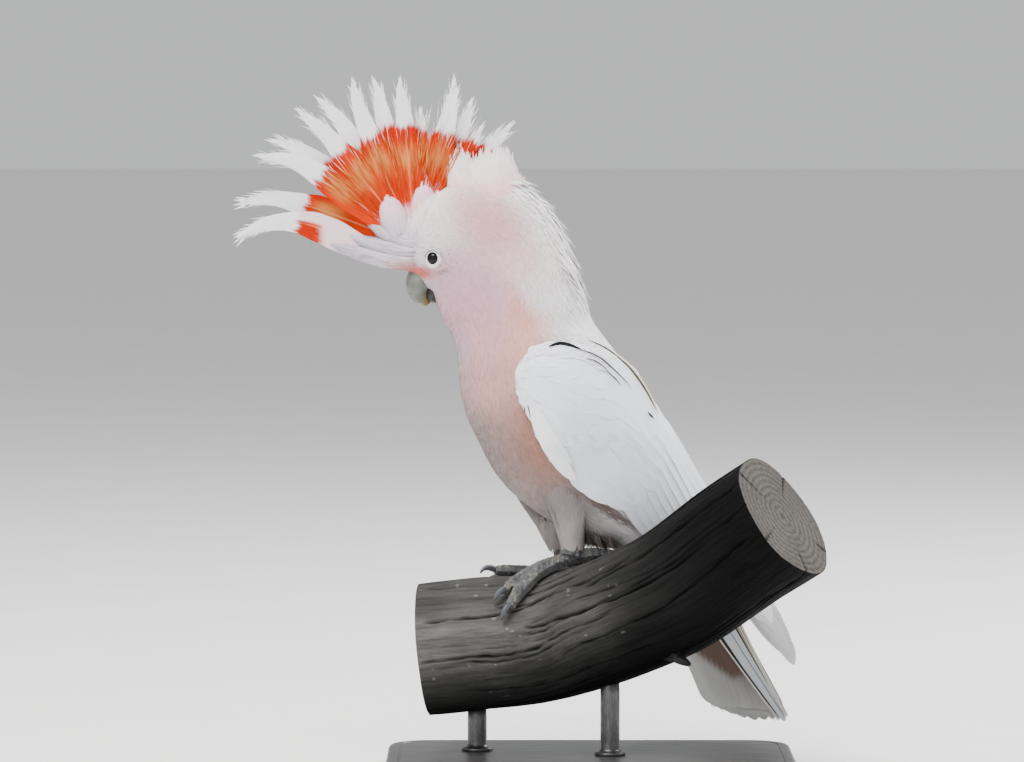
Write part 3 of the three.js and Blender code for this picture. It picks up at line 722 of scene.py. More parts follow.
# ------------------------------------------------------------------ feather tufts
# A small tuft: a thin closed leaf with a sharp tip. (along, across, height) per vertex.
TUFT = np.array([(0, 0, 0), (0.42, -1, 0), (0.42, 0, 0.5), (0.42, 1, 0), (0.42, 0, -0.5),
                 (1, 0, 0)])
TUFT_FACES = np.array([(0, 1, 2), (0, 2, 3), (1, 5, 2), (2, 5, 3),
                       (0, 4, 1), (0, 3, 4), (1, 4, 5), (4, 3, 5)])
TUFT_THICK = 0.14
PATCH = 0.003  # a tuft's patch on the coat's baking map


def frames(surface, a, b, sign):
    """A surface's points, headings along a, and outward normals."""
    e = 0.02
    point = surface(a, b)
    along = surface(a + e, b) - surface(a - e, b)
    across = surface(a, b + e) - surface(a, b - e)
    return point, unit(along), unit(np.cross(along, across)) * sign


def tufts(surface, a, b, reach_a, reach_b, width, lift, curl, sign=1):
    """Tufts lying along a surface, each from its root (a, b) towards (a + reach_a, b + reach_b).
    Gives points and outward directions, each (tufts, vertices, 3)."""
    count = len(a)
    rows, which = np.unique(TUFT[:, 0], return_inverse=True)
    stretch = 1 + 0.1 * rng.standard_normal((count, len(TUFT))) * (TUFT[:, 0] > 0.75)
    made, outward = np.zeros((2, count, len(TUFT), 3))
    centres, sides, normals = [], [], []
    for t in rows:
        point, heading, normal = frames(surface, a + reach_a * t, b + reach_b * t, sign)
        rise = lift * (0.25 + 0.75 * math.sin(0.5 * math.pi * t**0.85))
        centres.append(point + normal * rise[:, None])
        sides.append(unit(np.cross(normal, heading)))
        normals.append(normal)
    bend = curl * rng.standard_normal(count)
    for v, (t, s, h) in enumerate(TUFT):
        r = which[v]
        outward[:, v] = normals[r]
        made[:, v] = (centres[r] + sides[r] * (width * s * 0.5 + bend * t**2)[:, None]
                      + normals[r] * (h * TUFT_THICK))
        if t > 0.75:
            made[:, v] += (centres[-1] - centres[-2]) * (stretch[:, v] - 1)[:, None]
    return made, outward


def free_tufts(root, heading, normal, length, width, thick, bend):
    """Tufts from given roots and headings, not held to a surface."""
    heading = unit(heading)
    side = unit(np.cross(normal, heading))
    normal = np.cross(heading, side)
    t, s, h = TUFT[:, 0][None, :, None], TUFT[:, 1][None, :, None], TUFT[:, 2][None, :, None]
    length, width = np.asarray(length)[:, None, None], np.asarray(width)[:, None, None]
    droop = np.asarray(bend).reshape(-1, 1, 1) * t**2
    made = (root[:, None] + heading[:, None] * length * t + side[:, None] * (width * s / 2 + droop)
            + normal[:, None] * h * thick)
    return made, np.broadcast_to(normal[:, None], made.shape)


def tuft_maps(count, u, v):
    """The two UV maps of a piece made of tufts."""
    bake = np.empty((count, len(TUFT), 2))
    bake[..., 0] = u[:, None] + (TUFT[:, 1] * 0.5) * PATCH
    bake[..., 1] = v[:, None] + (TUFT[:, 0] - 0.5) * PATCH
    vane = np.empty((count, len(TUFT), 2))
    rng.uniform(0, 40, count)  # unused, but later draws depend on it
    vane[..., 0] = TUFT[:, 1]
    vane[..., 1] = TUFT[:, 0] + rng.uniform(0, 40, count)[:, None]
    return {"OFBake": bake.reshape(-1, 2), "vane": vane.reshape(-1, 2)}


def tuft_colours(count, colour, tip=(1.03, 1.03, 1.03), root=(0.96, 0.93, 0.93), spread=0.035):
    """Each tuft's colour, deeper at its root and paler at its tip, a little uneven over all."""
    along = TUFT[:, 0][None, :, None]
    shade = np.array(root) + (np.array(tip) - np.array(root)) * along**0.7
    own = 1 + spread * rng.standard_normal((count, 1, 1))
    return np.clip(colour[:, None, :] * shade * own, 0, 1).reshape(-1, 3)


def tuft_piece(name, laid, colours, maps, material, soft=0.8):
    """A piece of tufts. soft is how far its shading follows the body's."""
    points, outward = laid
    count = len(points)
    faces = (TUFT_FACES[None] + (np.arange(count) * len(TUFT))[:, None, None]).reshape(-1, 3)
    piece = make_piece(name, points.reshape(-1, 3), [faces], material, (), colours, maps)
    soften(piece, outward.reshape(-1, 3), soft)


# ------------------------------------------------------------------ the body's coat
# By station: spacing of the tufts, their length and their full width.
COAT_SPACING = {-1: 0.75, 0: 0.8, 2: 0.9, 4: 1, 7: 1.15, 10: 1.3, 14: 1.5, 19: 1.9}
COAT_LENGTH = {-1: 4, 0: 5, 2: 7.5, 4: 9, 7: 10.5, 10: 12, 14: 14, 19: 19}
COAT_WIDTH = {-1: 1.1, 0: 1.3, 2: 1.7, 4: 2, 7: 2.3, 10: 2.6, 14: 3, 19: 4}
MAP_STATIONS = 21  # the trunk's stations on the coat's baking map
MOUTH, MOUTH_CLEAR = np.array([-108, 0, 297]), 7  # no tuft is rooted this near the mouth


def surface_roots(surface, start, end, spacing):
    """Jittered rows of roots over a surface, evenly spaced in millimetres."""
    found_a, found_b = [], []
    a, row, small = start, 0, 0.05
    ring = np.linspace(0, TURN, 65)
    while a < end:
        gap = spacing(a)
        around = surface(np.full(len(ring), a), ring)
        length = np.linalg.norm(np.diff(around, axis=0), axis=1)
        ahead = surface(np.full(len(ring), a + small), ring)
        step = np.linalg.norm(ahead - around, axis=1) / small
        total = np.concatenate([[0], np.cumsum(length)])
        count = max(3, int(total[-1] / gap))
        at = (np.arange(count) + 0.5 * (row % 2) + rng.uniform(-0.42, 0.42, count)) / count
        b = np.interp((at % 1) * total[-1], total, ring)
        keep = rng.uniform(0, 1, count) < np.interp(b, ring, step) / step.max() * 1.15
        advance = gap * 0.9 / step.max()
        found_b.append(b[keep])
        found_a.append(a + rng.uniform(-0.45, 0.45, keep.sum()) * advance)
        a += advance
        row += 1
    return np.concatenate(found_a), np.concatenate(found_b)


def hidden_by_wing(points):
    """True where the folded wing covers the trunk well inside the wing's edges."""
    w = np.linspace(1.4, 8.5, 30)
    upper = wing_point(w, 0.16, 1)
    lower = wing_point(w, 0.84, 1)
    outline = np.vstack([upper, lower[::-1]])[:, [0, 2]]
    x, z = points[:, 0], points[:, 2]
    inside = np.zeros(len(points), bool)
    for (x0, z0), (x1, z1) in zip(outline, np.roll(outline, -1, axis=0)):
        crosses = (z0 > z) != (z1 > z)
        with np.errstate(divide="ignore", invalid="ignore"):
            inside ^= crosses & (x < (x1 - x0) * (z - z0) / (z1 - z0) + x0)
    middle = np.maximum(0, SWAY_FROM - z) * SWAY_SHARE
    return inside & (np.abs(points[:, 1] - middle) > 11)


def eye_distance(places):
    """How far points on the face lie from the middle of the nearer eye, seen from the side."""
    away = [np.hypot(places[:, 0] - eye[0], places[:, 2] - eye[2])
            + 50 * (places[:, 1] * eye[1] < 0) for eye in EYE_CENTRES]
    return np.min(away, axis=0)


def body_coat(name, start, end, material):
    """The tufts of one stretch of the trunk, as a piece."""
    a, b = surface_roots(skin_point, start, end, lambda u: table(COAT_SPACING, u) * COARSE)
    place = body_point(a, b)
    shown = ~hidden_by_wing(place) & (eye_distance(place) > EYE_RING + 0.2)
    shown &= np.linalg.norm(place - MOUTH, axis=1) > MOUTH_CLEAR
    a, b, place = a[shown], b[shown], place[shown]
    pace = np.linalg.norm(skin_point(a + 0.05, b) - skin_point(a - 0.05, b), axis=1) / 0.1
    nape = nape_share(a, b)
    spike = (rng.uniform(0, 1, len(a)) < 0.1) * nape * smooth_step(0.7, 0.95, np.cos(b))
    length = table(COAT_LENGTH, a) * (1 + 0.5 * nape + 0.3 * spike) * rng.uniform(0.8, 1.2, len(a))
    width = table(COAT_WIDTH, a) * rng.uniform(0.8, 1.2, len(a)) * (1 + 0.5 * spike) * COARSE**0.5
    near_eye = smooth_step(17, 6, eye_distance(place))
    length *= 1 - 0.5 * near_eye
    width *= 1 - 0.3 * near_eye
    reach = length / np.maximum(pace, 2.0)
    # A tuft that would lie across the ring round the eye is shorter.
    for share in (0.5, 1):
        over = eye_distance(body_point(a + reach * share, b)) < EYE_RING
        reach[over] *= 0.4
    lift = coat_depth(a, b) * rng.uniform(0.85, 1.02, len(a)) * (1 + 0.5 * spike)
    laid = tufts(skin_point, a, b, reach, rng.normal(0, 0.035, len(a)), width, lift, 0.2)
    base = marks_at(place)
    base *= 1 + 0.05 * hash_noise(place, 9, 3)[:, None] * [0.6, 1, 1]
    colours = tuft_colours(len(a), blend(base, WHITE, 0.8 * spike), spread=0.05)
    maps = tuft_maps(len(a), b / TURN, (a + 1) / MAP_STATIONS)
    tuft_piece(name, laid, colours, maps, material, 0.92)


NAPE_POINTS, NAPE_BARBS = 90, 14


def nape_coat(material):
    """White feathers gathered into the points that stand off the crown's and nape's outline."""
    roots, headings, normals, lengths, at = [], [], [], [], []
    for _ in range(NAPE_POINTS):
        u, phi = rng.uniform(0.8, 6.2), np.clip(rng.normal(0, 0.3), -0.5, 0.5)
        tip = body_point(u + 0.85, phi, rng.uniform(0.5, 4.4))
        a = u - rng.uniform(-0.1, 0.5, NAPE_BARBS)
        b = phi + rng.normal(0, 0.13, NAPE_BARBS)
        root = body_point(a, b, -0.9)
        roots.append(root)
        headings.append(tip - root)
        normals.append(body_point(a, b, 1) - body_point(a, b, 0))
        lengths.append(np.linalg.norm(tip - root, axis=1) * rng.uniform(0.8, 1.05, NAPE_BARBS))
        at.append(np.stack([b / TURN, (a + 1) / MAP_STATIONS], 1))
    count = NAPE_POINTS * NAPE_BARBS
    laid = free_tufts(np.vstack(roots), np.vstack(headings), np.vstack(normals),
                      np.concatenate(lengths), rng.uniform(1.2, 2.2, count), 0.14,
                      rng.normal(0, 0.5, count))
    base = np.tile(np.array((0.93, 0.87, 0.88)), (count, 1))
    place = np.vstack(at)
    tuft_piece("coat_nape", laid, tuft_colours(count, base), tuft_maps(count, *place.T), material,
               0.9)


# The shin's pale feathers, greyed by painted shade under the belly.
SHIN_SHADE_GREY = (0.34, 0.3, 0.3)


def shin_coat(name, material):
    """The short feathers of one shin."""
    surface = partial(shin_point, name, grow=-SHIN_COAT)
    t, phi = surface_roots(surface, 0.05, 0.98, lambda t: 1.2 * COARSE)
    hip, ankle = (np.array(p, float) for p in HIPS[name])
    pace = np.linalg.norm(ankle - hip)
    length = rng.uniform(6, 9, len(t)) * (1.1 - 0.45 * t)
    lift = rng.uniform(0.8, 1.3, len(t))
    points, outward = tufts(surface, t, phi, length / pace, rng.normal(0, 0.08, len(t)),
                            rng.uniform(1.4, 2.2, len(t)), lift, 0.2)
    # Above the ankle the shin's feathers merge with the belly's, so they take light with it.
    flank = unit(np.array([-0.35, math.copysign(1, hip[1]), -0.3]))
    own = smooth_step(0.1, 1.0, t)[:, None, None]
    laid = points, unit(outward * own + flank * (1 - own))
    base = blend(marks_at(surface(t, phi)), SHIN_SHADE_GREY, smooth_step(0.3, 0.9, t))
    colours = tuft_colours(len(t), base)
    maps = tuft_maps(len(t), phi / TURN, t)
    tuft_piece(f"coat_shin_{name}", laid, colours, maps, material)


# The vent's painted shade: grey, and darker deeper in the recess behind the feet.
VENT_GREY, VENT_SHADE = np.array((0.36, 0.33, 0.32)), np.array((0.125, 0.097, 0.087))
VENT_PALE = np.array((0.14, 0.11, 0.1))  # added to the palest of the feathers in painted shade
VENT_LOOSE = 0.4  # how deep in painted shade a feather is before it hangs loose


def vent_coat(material):
    """The feathers that hang from the vent, down behind the feet, greyed by painted shade and
    darkest in the recess.
    """
    count = 620
    u, phi = rng.uniform(13.9, 15.6, count), math.pi + rng.normal(0, 0.55, count)
    u = np.where(body_point(u, phi)[:, 0] > 12, u - 1.2, u)
    root = body_point(u, phi, -1)
    out = body_point(u, phi, 1) - body_point(u, phi, 0)
    heading = np.stack([rng.normal(0.4, 0.15, count), 0.12 * out[:, 1], np.full(count, -1.0)], 1)
    length = np.clip(root[:, 2] - 134 + rng.uniform(-3, 3, count), 4, 13)
    laid = free_tufts(root, heading, out, length, rng.uniform(0.7, 1.3, count), 0.15,
                      rng.normal(0, 0.8, count))
    pale = (rng.uniform(0, 1, count) < 0.3)[:, None] * rng.uniform(0.2, 1, (count, 1))
    # Painted shade: darker low down and towards the front, in the recess behind the feet.
    shade_share = smooth_step(155, 146, root[:, 2]) * smooth_step(14, 9, root[:, 0])
    base = blend(VENT_GREY, VENT_SHADE + pale * VENT_PALE, shade_share)
    maps = tuft_maps(count, phi / TURN, (u + 1) / MAP_STATIONS)
    colours = tuft_colours(count, base)
    # Only the feathers deepest in painted shade hang loose; the trunk's own coat covers the rest.
    kept = shade_share > VENT_LOOSE
    laid = [part[kept] for part in laid]
    kept = np.repeat(kept, len(TUFT))
    maps = {layer: uv[kept] for layer, uv in maps.items()}
    tuft_piece("coat_vent", laid, colours[kept], maps, material, 0.85)


# ------------------------------------------------------------------ large feathers
def vane(centre, side, normal, half, camber, roll, columns, thick, ragged, sweep=0.35):
    """One closed feather along a line of points. half is its half width at each row.
    Gives points, quads, and each vertex's place across (-1 to 1) and along (0 to 1)."""
    rows = len(centre)
    s = np.linspace(-1, 1, columns)
    left = half * (1 - ragged * rng.uniform(0, 1, rows))
    right = half * (1 - ragged * rng.uniform(0, 1, rows))
    wide = np.where(s[None] < 0, left[:, None], right[:, None]) * s[None]
    t = np.linspace(0, 1, rows)
    # The edge's barbs reach forward of the shaft towards the tip.
    heading = unit(np.gradient(centre, axis=0))
    swept = np.abs(s)[None] ** 1.5 * half[:, None] * sweep
    rise = camber * (1 - s[None] ** 2) * np.ones((rows, 1)) + roll * s[None] * half[:, None]
    rise = rise + 0.25 * np.exp(-((s[None] / 0.16) ** 2)) * (1 - 0.6 * t[:, None])
    point = (centre[:, None] + side[:, None] * wide[..., None] + normal[:, None] * rise[..., None]
             - heading[:, None] * swept[..., None])
    inner = point[1:-1, 1:-1] - normal[1:-1, None] * (thick * (1 - s[1:-1] ** 2))[None, :, None]
    points = np.vstack([point.reshape(-1, 3), inner.reshape(-1, 3)])
    top = np.arange(rows * columns).reshape(rows, columns)
    under = top.copy()
    under[1:-1, 1:-1] = rows * columns + np.arange((rows - 2) * (columns - 2)).reshape(
        rows - 2, columns - 2)

    def quads(grid):
        return np.stack([grid[:-1, :-1], grid[:-1, 1:], grid[1:, 1:], grid[1:, :-1]],
                        -1).reshape(-1, 4)

    faces = np.vstack([quads(top), quads(under)[:, ::-1]])
    across = np.concatenate([np.tile(s, rows), np.tile(s[1:-1], rows - 2)])
    along = np.concatenate([np.repeat(t, columns), np.repeat(t[1:-1], columns - 2)])
    outward = np.concatenate([np.repeat(normal, columns, axis=0),
                              np.repeat(normal[1:-1], columns - 2, axis=0)])
    return points, faces, across, along, outward


class Plumage:
    """Large feathers gathered into one piece, each with its own cell of the baking map."""

    def __init__(self, cells=20):
        self.cells = cells
        self.points, self.faces, self.colours, self.outward = [], [], [], []
        self.bake, self.vane = [], []
        self.total = self.count = 0

    def add(self, made, colours):
        points, faces, across, along, outward = made
        cell = np.array([self.count % self.cells, self.count // self.cells])
        inside = np.stack([0.5 + 0.44 * across, 0.06 + 0.88 * along], 1)
        self.points.append(points)
        self.faces.append(faces + self.total)
        self.colours.append(colours)
        self.outward.append(outward)
        self.bake.append((cell + inside) / self.cells)
        self.vane.append(np.stack([across, along + 7.7 * self.count], 1))
        self.total += len(points)
        self.count += 1

    def piece(self, name, material, nodes, soft):
        maps = {"OFBake": np.vstack(self.bake), "vane": np.vstack(self.vane)}
        made = make_piece(name, np.vstack(self.points), [np.vstack(self.faces)], material, nodes,
                          np.vstack(self.colours), maps)
        soften(made, np.vstack(self.outward), soft)


def plain_colours(made, tone):
    """A feather of one colour, a shade darker at its root and in its middle."""
    shade = 0.96 + 0.04 * made[3] ** 0.5
    own = 1 + 0.02 * rng.standard_normal()
    return np.array(tone) * (shade * own)[:, None]


# ------------------------------------------------------------------ the wings' feathers
WING_WHITE = (0.9, 0.92, 0.985)
PRIMARY_GREY = (0.66, 0.67, 0.67)
# Rows of coverts: station of the roots, length, half width, spacing across.
COVERT_ROWS = [
    (0.15, 9, 3.6, 5), (0.5, 11, 4.2, 6), (0.9, 13, 4.8, 6.5), (1.3, 14, 5.2, 7),
    (1.7, 15, 5.4, 7), (2.1, 16, 5.6, 7.5), (2.5, 17, 5.8, 7.5), (2.9, 18, 6, 8),
    (3.3, 20, 6.2, 8), (3.75, 22, 6.4, 8), (4.25, 25, 6.6, 8.5), (4.8, 29, 6.8, 8.5),
    (5.4, 33, 7, 8.5),
]
# Long feathers, from the upper edge to the lower: root station and place across, tip station and
# place across, half width, lift above the wing.
SECONDARIES = [
    (4.6, 0.04, 9.4, 0.1, 8.5, 3.4), (4.8, 0.14, 10.0, 0.2, 8.5, 2.9),
    (5.1, 0.24, 10.3, 0.33, 8.5, 2.5), (5.4, 0.34, 10.4, 0.45, 8.2, 2.2),
    (5.6, 0.44, 10.4, 0.57, 8, 1.9), (5.8, 0.55, 10.2, 0.68, 7.8, 1.6),
    (5.9, 0.66, 10.0, 0.79, 7.4, 1.4), (6.0, 0.77, 9.8, 0.89, 7, 1.2),
    (6.1, 0.89, 9.5, 0.98, 6.4, 1.0),
]
SECONDARY_LIFT = 0.12  # share of the lift that the folded secondaries keep
PRIMARIES = [
    (7.6, 0.45, 11.85, 0.55, 8.5, 1.3), (8.0, 0.4, 12.5, 0.42, 7, 1.0),
    (8.4, 0.5, 13.1, 0.52, 6.6, 0.8), (8.6, 0.6, 13.6, 0.62, 6.2, 0.6),
    (8.8, 0.7, 13.95, 0.6, 5.6, 0.4), (9.0, 0.84, 13.3, 0.82, 5, 0.25),
]
# The loose pale feathers that hang over the wing's front edge.
ALULA = [(1.95, 0.97, 4.75, 0.99, 4.3, 3.6), (2.05, 0.9, 4.2, 0.93, 2.6, 2.2)]
ALULA_WHITE = (0.97, 0.98, 1.0)


def wing_feather(side, w0, s0, w1, s1, half, lift, rows, columns, blunt, roll, camber, low, ragged):
    """A feather on the wing's face, its root tucked under and its tip lying above the next row."""
    t = np.linspace(0, 1, rows)
    w, s = w0 + (w1 - w0) * t, s0 + (s1 - s0) * t
    point, heading, normal = frames(partial(wing_point, side=side), w, s, side)
    rise = low + (lift - low) * np.sin(0.5 * math.pi * t**0.7)
    centre = point + normal * rise[:, None]
    across = unit(np.cross(heading, normal))
    taper = np.minimum(1, 0.45 + 1.3 * t)
    tip = np.sqrt(np.clip(1 - ((t - blunt) / (1 - blunt)).clip(0) ** 2.6, 0.012, 1))
    return vane(centre, across, normal, half * taper * tip, camber, -side * roll, columns, 0.5,
                ragged)


def wing_shade(points, base):
    """Painted shade: the wing is greyer in the middle of its face and cooler towards its tip."""
    x, z = points[:, 0], points[:, 2]
    grey = np.exp(-(((x + 8) / 22) ** 2 + ((z - 212) / 20) ** 2))
    low = smooth_step(150, 90, z)
    tone = 1 - 0.15 * grey[:, None] * np.array((1.1, 1.05, 0.9))
    return base * tone * (1 - 0.05 * low[:, None])


def wing_plumage(name, side, material):
    made = Plumage(16)

    def put(feather, tone=WING_WHITE):
        made.add(feather, wing_shade(feather[0], plain_colours(feather, tone)))

    for *place, half, lift in PRIMARIES:
        tone = WING_WHITE if place[2] < 12 else PRIMARY_GREY
        put(wing_feather(side, *place, half, lift, 30, 9, 0.62, 0.04, 0.4, -0.4, 0.02), tone)
    for *place, half, lift in SECONDARIES[::-1]:
        put(wing_feather(side, *place, half, lift * SECONDARY_LIFT, 28, 9, 0.8, 0.02, 0.15, -0.4,
                         0.02))
    for w0, length, half, gap in COVERT_ROWS[::-1]:
        width = float(wing_width(np.array(w0 + 0.4)))
        count = max(3, int(round(width / gap)))
        offset = rng.uniform(-0.25, 0.25)
        for k in range(count):
            s = (k + 0.5 + offset) / count
            s += rng.normal(0, 0.012)
            s = float(np.clip(s, 0.5 * half / width, 1 - 0.6 * half / width))
            pace = np.linalg.norm(wing_point(w0 + 0.5, s, side) - wing_point(w0, s, side)) / 0.5
            reach = length * rng.uniform(0.9, 1.1) / max(pace, 6)
            put(wing_feather(side, w0, s, w0 + reach, s + rng.normal(0.005, 0.012), half * 1.15,
                             rng.uniform(0.2, 0.35), 12, 7, 0.45, rng.normal(0, 0.01), 0.15, -0.4,
                             0.03))
    for *place, half, lift in ALULA:
        put(wing_feather(side, *place, half, lift, 22, 9, 0.6, 0.02, 0.8, 0.6, 0.03), ALULA_WHITE)
    nodes = [f"wing_{name}_{part}" for part in ("coverts", "secondaries", "primaries")]
    made.piece(f"wing_feathers_{name}", material, nodes, 0.88)


def wing_fringe(name, side, material):
    """Small soft feathers along the shoulder and the wing's front edge, over the first coverts."""
    count = 1500
    w = rng.uniform(0.02, 3.2, count)
    low = rng.uniform(0, 1, count) < 0.62
    s = np.where(low, rng.uniform(0.86, 1.0, count), rng.uniform(0.0, 0.16, count))
    s = np.where(w < 0.45, rng.uniform(0, 1, count), s)
    surface = partial(wing_point, side=side)
    pace = np.linalg.norm(surface(w + 0.2, s) - surface(w, s), axis=1) / 0.2
    length = rng.uniform(6, 9, count) * smooth_step(-1, 0.8, w)
    drift = np.where(low, rng.normal(0.02, 0.02, count), rng.normal(-0.01, 0.02, count))
    laid = tufts(surface, w, s, length / np.maximum(pace, 7), drift, rng.uniform(1.3, 2.3, count),
                 rng.uniform(0.7, 1.2, count), 0.3, side)
    colours = tuft_colours(count, np.tile(np.array(WING_WHITE), (count, 1)))
    tuft_piece(f"wing_fringe_{name}", laid, colours, tuft_maps(count, s, w / 4), material, 0.92)


# Where the mantle's feathers lie over the wing: thin dark strips of painted shadow in the gaps
# between them, and pale edges, seen from the side. Each is a line of x, z, its half width and its
# colour. The photo shows them on the left wing; the right one's are a guess, so its painted shadows
# are narrower and only a little darker than the wing.
SHADOW_DARK, SHADOW_BROWN, SHADOW_LONG = (0.01, 0.01, 0.012), (0.06, 0.05, 0.05), (0.09, 0.075, 0.065)
EDGE_CREAM = (0.98, 0.86, 0.66)
FAR_SHADOW, FAR_SHADOW_WIDTH = (0.6, 0.6, 0.62), 0.6
EDGES = [
    ([(-26, 264.4), (-20, 266), (-14, 265.4), (-6, 262.4)], 1.15, SHADOW_DARK),
    ([(-10, 263.6), (5, 257.6), (14.7, 249.3), (25.3, 238.7)], 0.5, SHADOW_BROWN),
    ([(-2, 267.9), (6, 264.4), (13, 260), (20, 254)], 0.5, SHADOW_BROWN),
    ([(15, 258.6), (24, 250.5), (33, 238.2), (41, 223.7)], 0.65, SHADOW_LONG),
    ([(14.4, 259.6), (25.3, 250.2), (34.4, 237.8), (42.3, 222.3)], 0.55, EDGE_CREAM),
    ([(-3, 257), (2, 255.5), (7, 252.4), (11, 248.6)], 0.35, SHADOW_BROWN),
    ([(9.3, 249.4), (12.6, 246.5), (15.8, 243.4), (19, 239.5)], 0.4, SHADOW_BROWN),
    ([(35.3, 223.2), (36.5, 221.8), (37.8, 220.4), (39, 219)], 0.6, SHADOW_DARK),
    ([(-39, 229), (-37, 222), (-34, 214), (-30, 207)], 0.5, SHADOW_BROWN),
]


def outer_side(x, z, side):
    """How far out to one side the bird's surface lies at places seen from that side."""
    w, s = np.linspace(0, 14, 200)[:, None], np.linspace(0, 1, 60)[None]
    u, phi = np.linspace(0, 19, 300)[:, None], np.linspace(0, TURN, 180)[None]
    net = np.vstack([wing_point(w, s, side).reshape(-1, 3), body_point(u, phi).reshape(-1, 3)])
    away = np.hypot(net[:, 0] - x[:, None], net[:, 2] - z[:, None])
    best = np.argmax(net[:, 1] * side - 40 * np.maximum(0, away - 1.6), axis=1)
    return net[best, 1]


def mantle_shadows_and_edges(name, side, material):
    # Strips along each line: the dark ones are painted shadow, the cream ones pale feather edges.
    made = Plumage(6)
    for line, half, tone in EDGES:
        if side > 0 and tone != EDGE_CREAM:
            half, tone = half * FAR_SHADOW_WIDTH, FAR_SHADOW
        t = np.linspace(0, 1, 30)
        flat = curve([(x, 0, z) for x, z in line], t)
        depth = outer_side(flat[:, 0], flat[:, 2], side)
        flat[:, 1] = np.polyval(np.polyfit(t, depth, 3), t) + side * 1.1
        heading = unit(np.gradient(flat, axis=0))
        face = unit(np.array([0, side, 0]) - heading * (heading[:, 1:2] * side))
        thin = half * np.sqrt(np.clip(np.sin(math.pi * np.clip(t, 0.02, 0.98)), 0.05, 1))
        feather = vane(flat, np.cross(heading, face), face, thin, 0.1, 0.0, 5, 0.5, 0.0, 0.0)
        made.add(feather, plain_colours(feather, tone))
    made.piece(f"mantle_shadows_and_edges_{name}", material, (), 0.6)


# ------------------------------------------------------------------ the crest
CREST_X, CREST_Z = -108.5, 325.5
# Long feathers: angle of the tip, reach of the tip, angle half way along, lean to one side.
CREST_LONG = [
    (177.5, 110, 169, -6), (166.5, 112, 160, 5), (150.5, 111.5, 143.5, -6), (143.5, 110, 139, 8),
    (131, 110, 128, -7), (123, 108.5, 120.5, 8), (111, 108, 112.5, -6), (103.5, 104, 104, 7),
    (95.5, 101.5, 94.5, -7), (87, 82, 87, 5), (76, 104, 75, 2), (68, 94, 68, 7),
    (60, 82, 62, 1.5), (51, 94, 53.5, 4),
]
CREST_RED_ENDS, CREST_YELLOW_AT = 73, 54
CREST_RED, CREST_DEEP = (0.6, 0.032, 0.0006), (0.56, 0.02, 0.0005)
CREST_YELLOW, CREST_TIP = (0.72, 0.33, 0.075), (0.93, 0.93, 0.97)
CREST_SHAFT = (0.92, 0.5, 0.25)
CREST_PINK = (0.88, 0.66, 0.7)
FIRST_SIDE = 1  # which edge of the lowest feather is its upper one


def crest_point(angle, reach, y=0.0):
    angle, reach, y = np.broadcast_arrays(np.asarray(angle, float) * DEG, reach, y)
    return np.stack([CREST_X + reach * np.cos(angle), y, CREST_Z + reach * np.sin(angle)], -1)


def crest_colours(points, across, vary, lowest=False):
    """Pale at the foot, orange-red with a yellow patch, then white from a ragged line."""
    x, z = points[:, 0] - CREST_X, points[:, 2] - CREST_Z
    reach = np.hypot(x, z)
    turn = np.arctan2(z, x) / DEG
    streak = hash_noise(np.stack([turn * 0.8, reach * 0.07, points[:, 1] * 0.3], 1), 1.0, 5, 2)
    ragged = 3.4 * streak + vary
    edge = np.abs(across)
    deep = smooth_step(56, 70, reach + ragged)
    red = blend(np.array(CREST_RED), CREST_DEEP, deep)
    patch = np.exp(-np.abs((reach - CREST_YELLOW_AT - 2 * vary - 4 * streak) / 8.5) ** 2.5)
    yellow = patch * smooth_step(0.9, 0.35, edge) * (0.55 + 0.5 * streak + 0.08 * vary)
    shaft = smooth_step(0.07, 0.01, edge) * smooth_step(76, 60, reach)
    start = LOWEST_RED_FROM if lowest else RED_FROM
    foot = smooth_step(start + 3, start - 3, reach + ragged)
    if lowest:  # one deep red patch on its lower half
        red[:], yellow = np.array(CREST_DEEP) * 0.85, 0 * yellow
        foot = np.maximum(foot, smooth_step(0.1, 0.35, across * FIRST_SIDE))
    colour = red * (1 + 0.28 * streak)[:, None]
    colour = blend(colour, CREST_YELLOW, np.clip(yellow, 0, 0.9))
    colour = blend(colour, CREST_SHAFT, 0.42 * shaft)
    colour = blend(colour, CREST_PINK, foot)
    tip = smooth_step(-2, 2, reach + ragged - 1.5 * edge - CREST_RED_ENDS)
    return blend(colour, CREST_TIP, tip)


def crest_line(angle, reach, half_angle, lean):
    """A long crest feather's shaft, from the crown to its tip."""
    drop = max(0, half_angle - 160) * 4.5
    return [crest_point(half_angle + drop, 20 if drop else 14, lean * 0.15),
            crest_point(half_angle, reach * 0.62, lean * 0.6),
            crest_point(half_angle + 0.3 * (angle - half_angle), reach * 0.83, lean * 0.85),
            crest_point(angle, reach, lean)]


def crest_face(heading, lean):
    """A crest feather's broad face looks to the side it leans to."""
    face = np.array([0, math.copysign(1, lean), 0])
    return unit(face - heading * (heading @ face)[:, None])


# Half width by reach, for a feather as long as CREST_FULL.
CREST_WIDTH = {14: 3.4, 30: 7, 50: 9.4, 66: 8.8, 74: 7, 82: 5.7, 90: 4.8, 98: 3.7, 105: 2.3,
               110: 0.5}
CREST_FULL = 110
RED_FROM, LOWEST_RED_FROM = 25, 58  # where the red starts; the lowest feather's starts further out


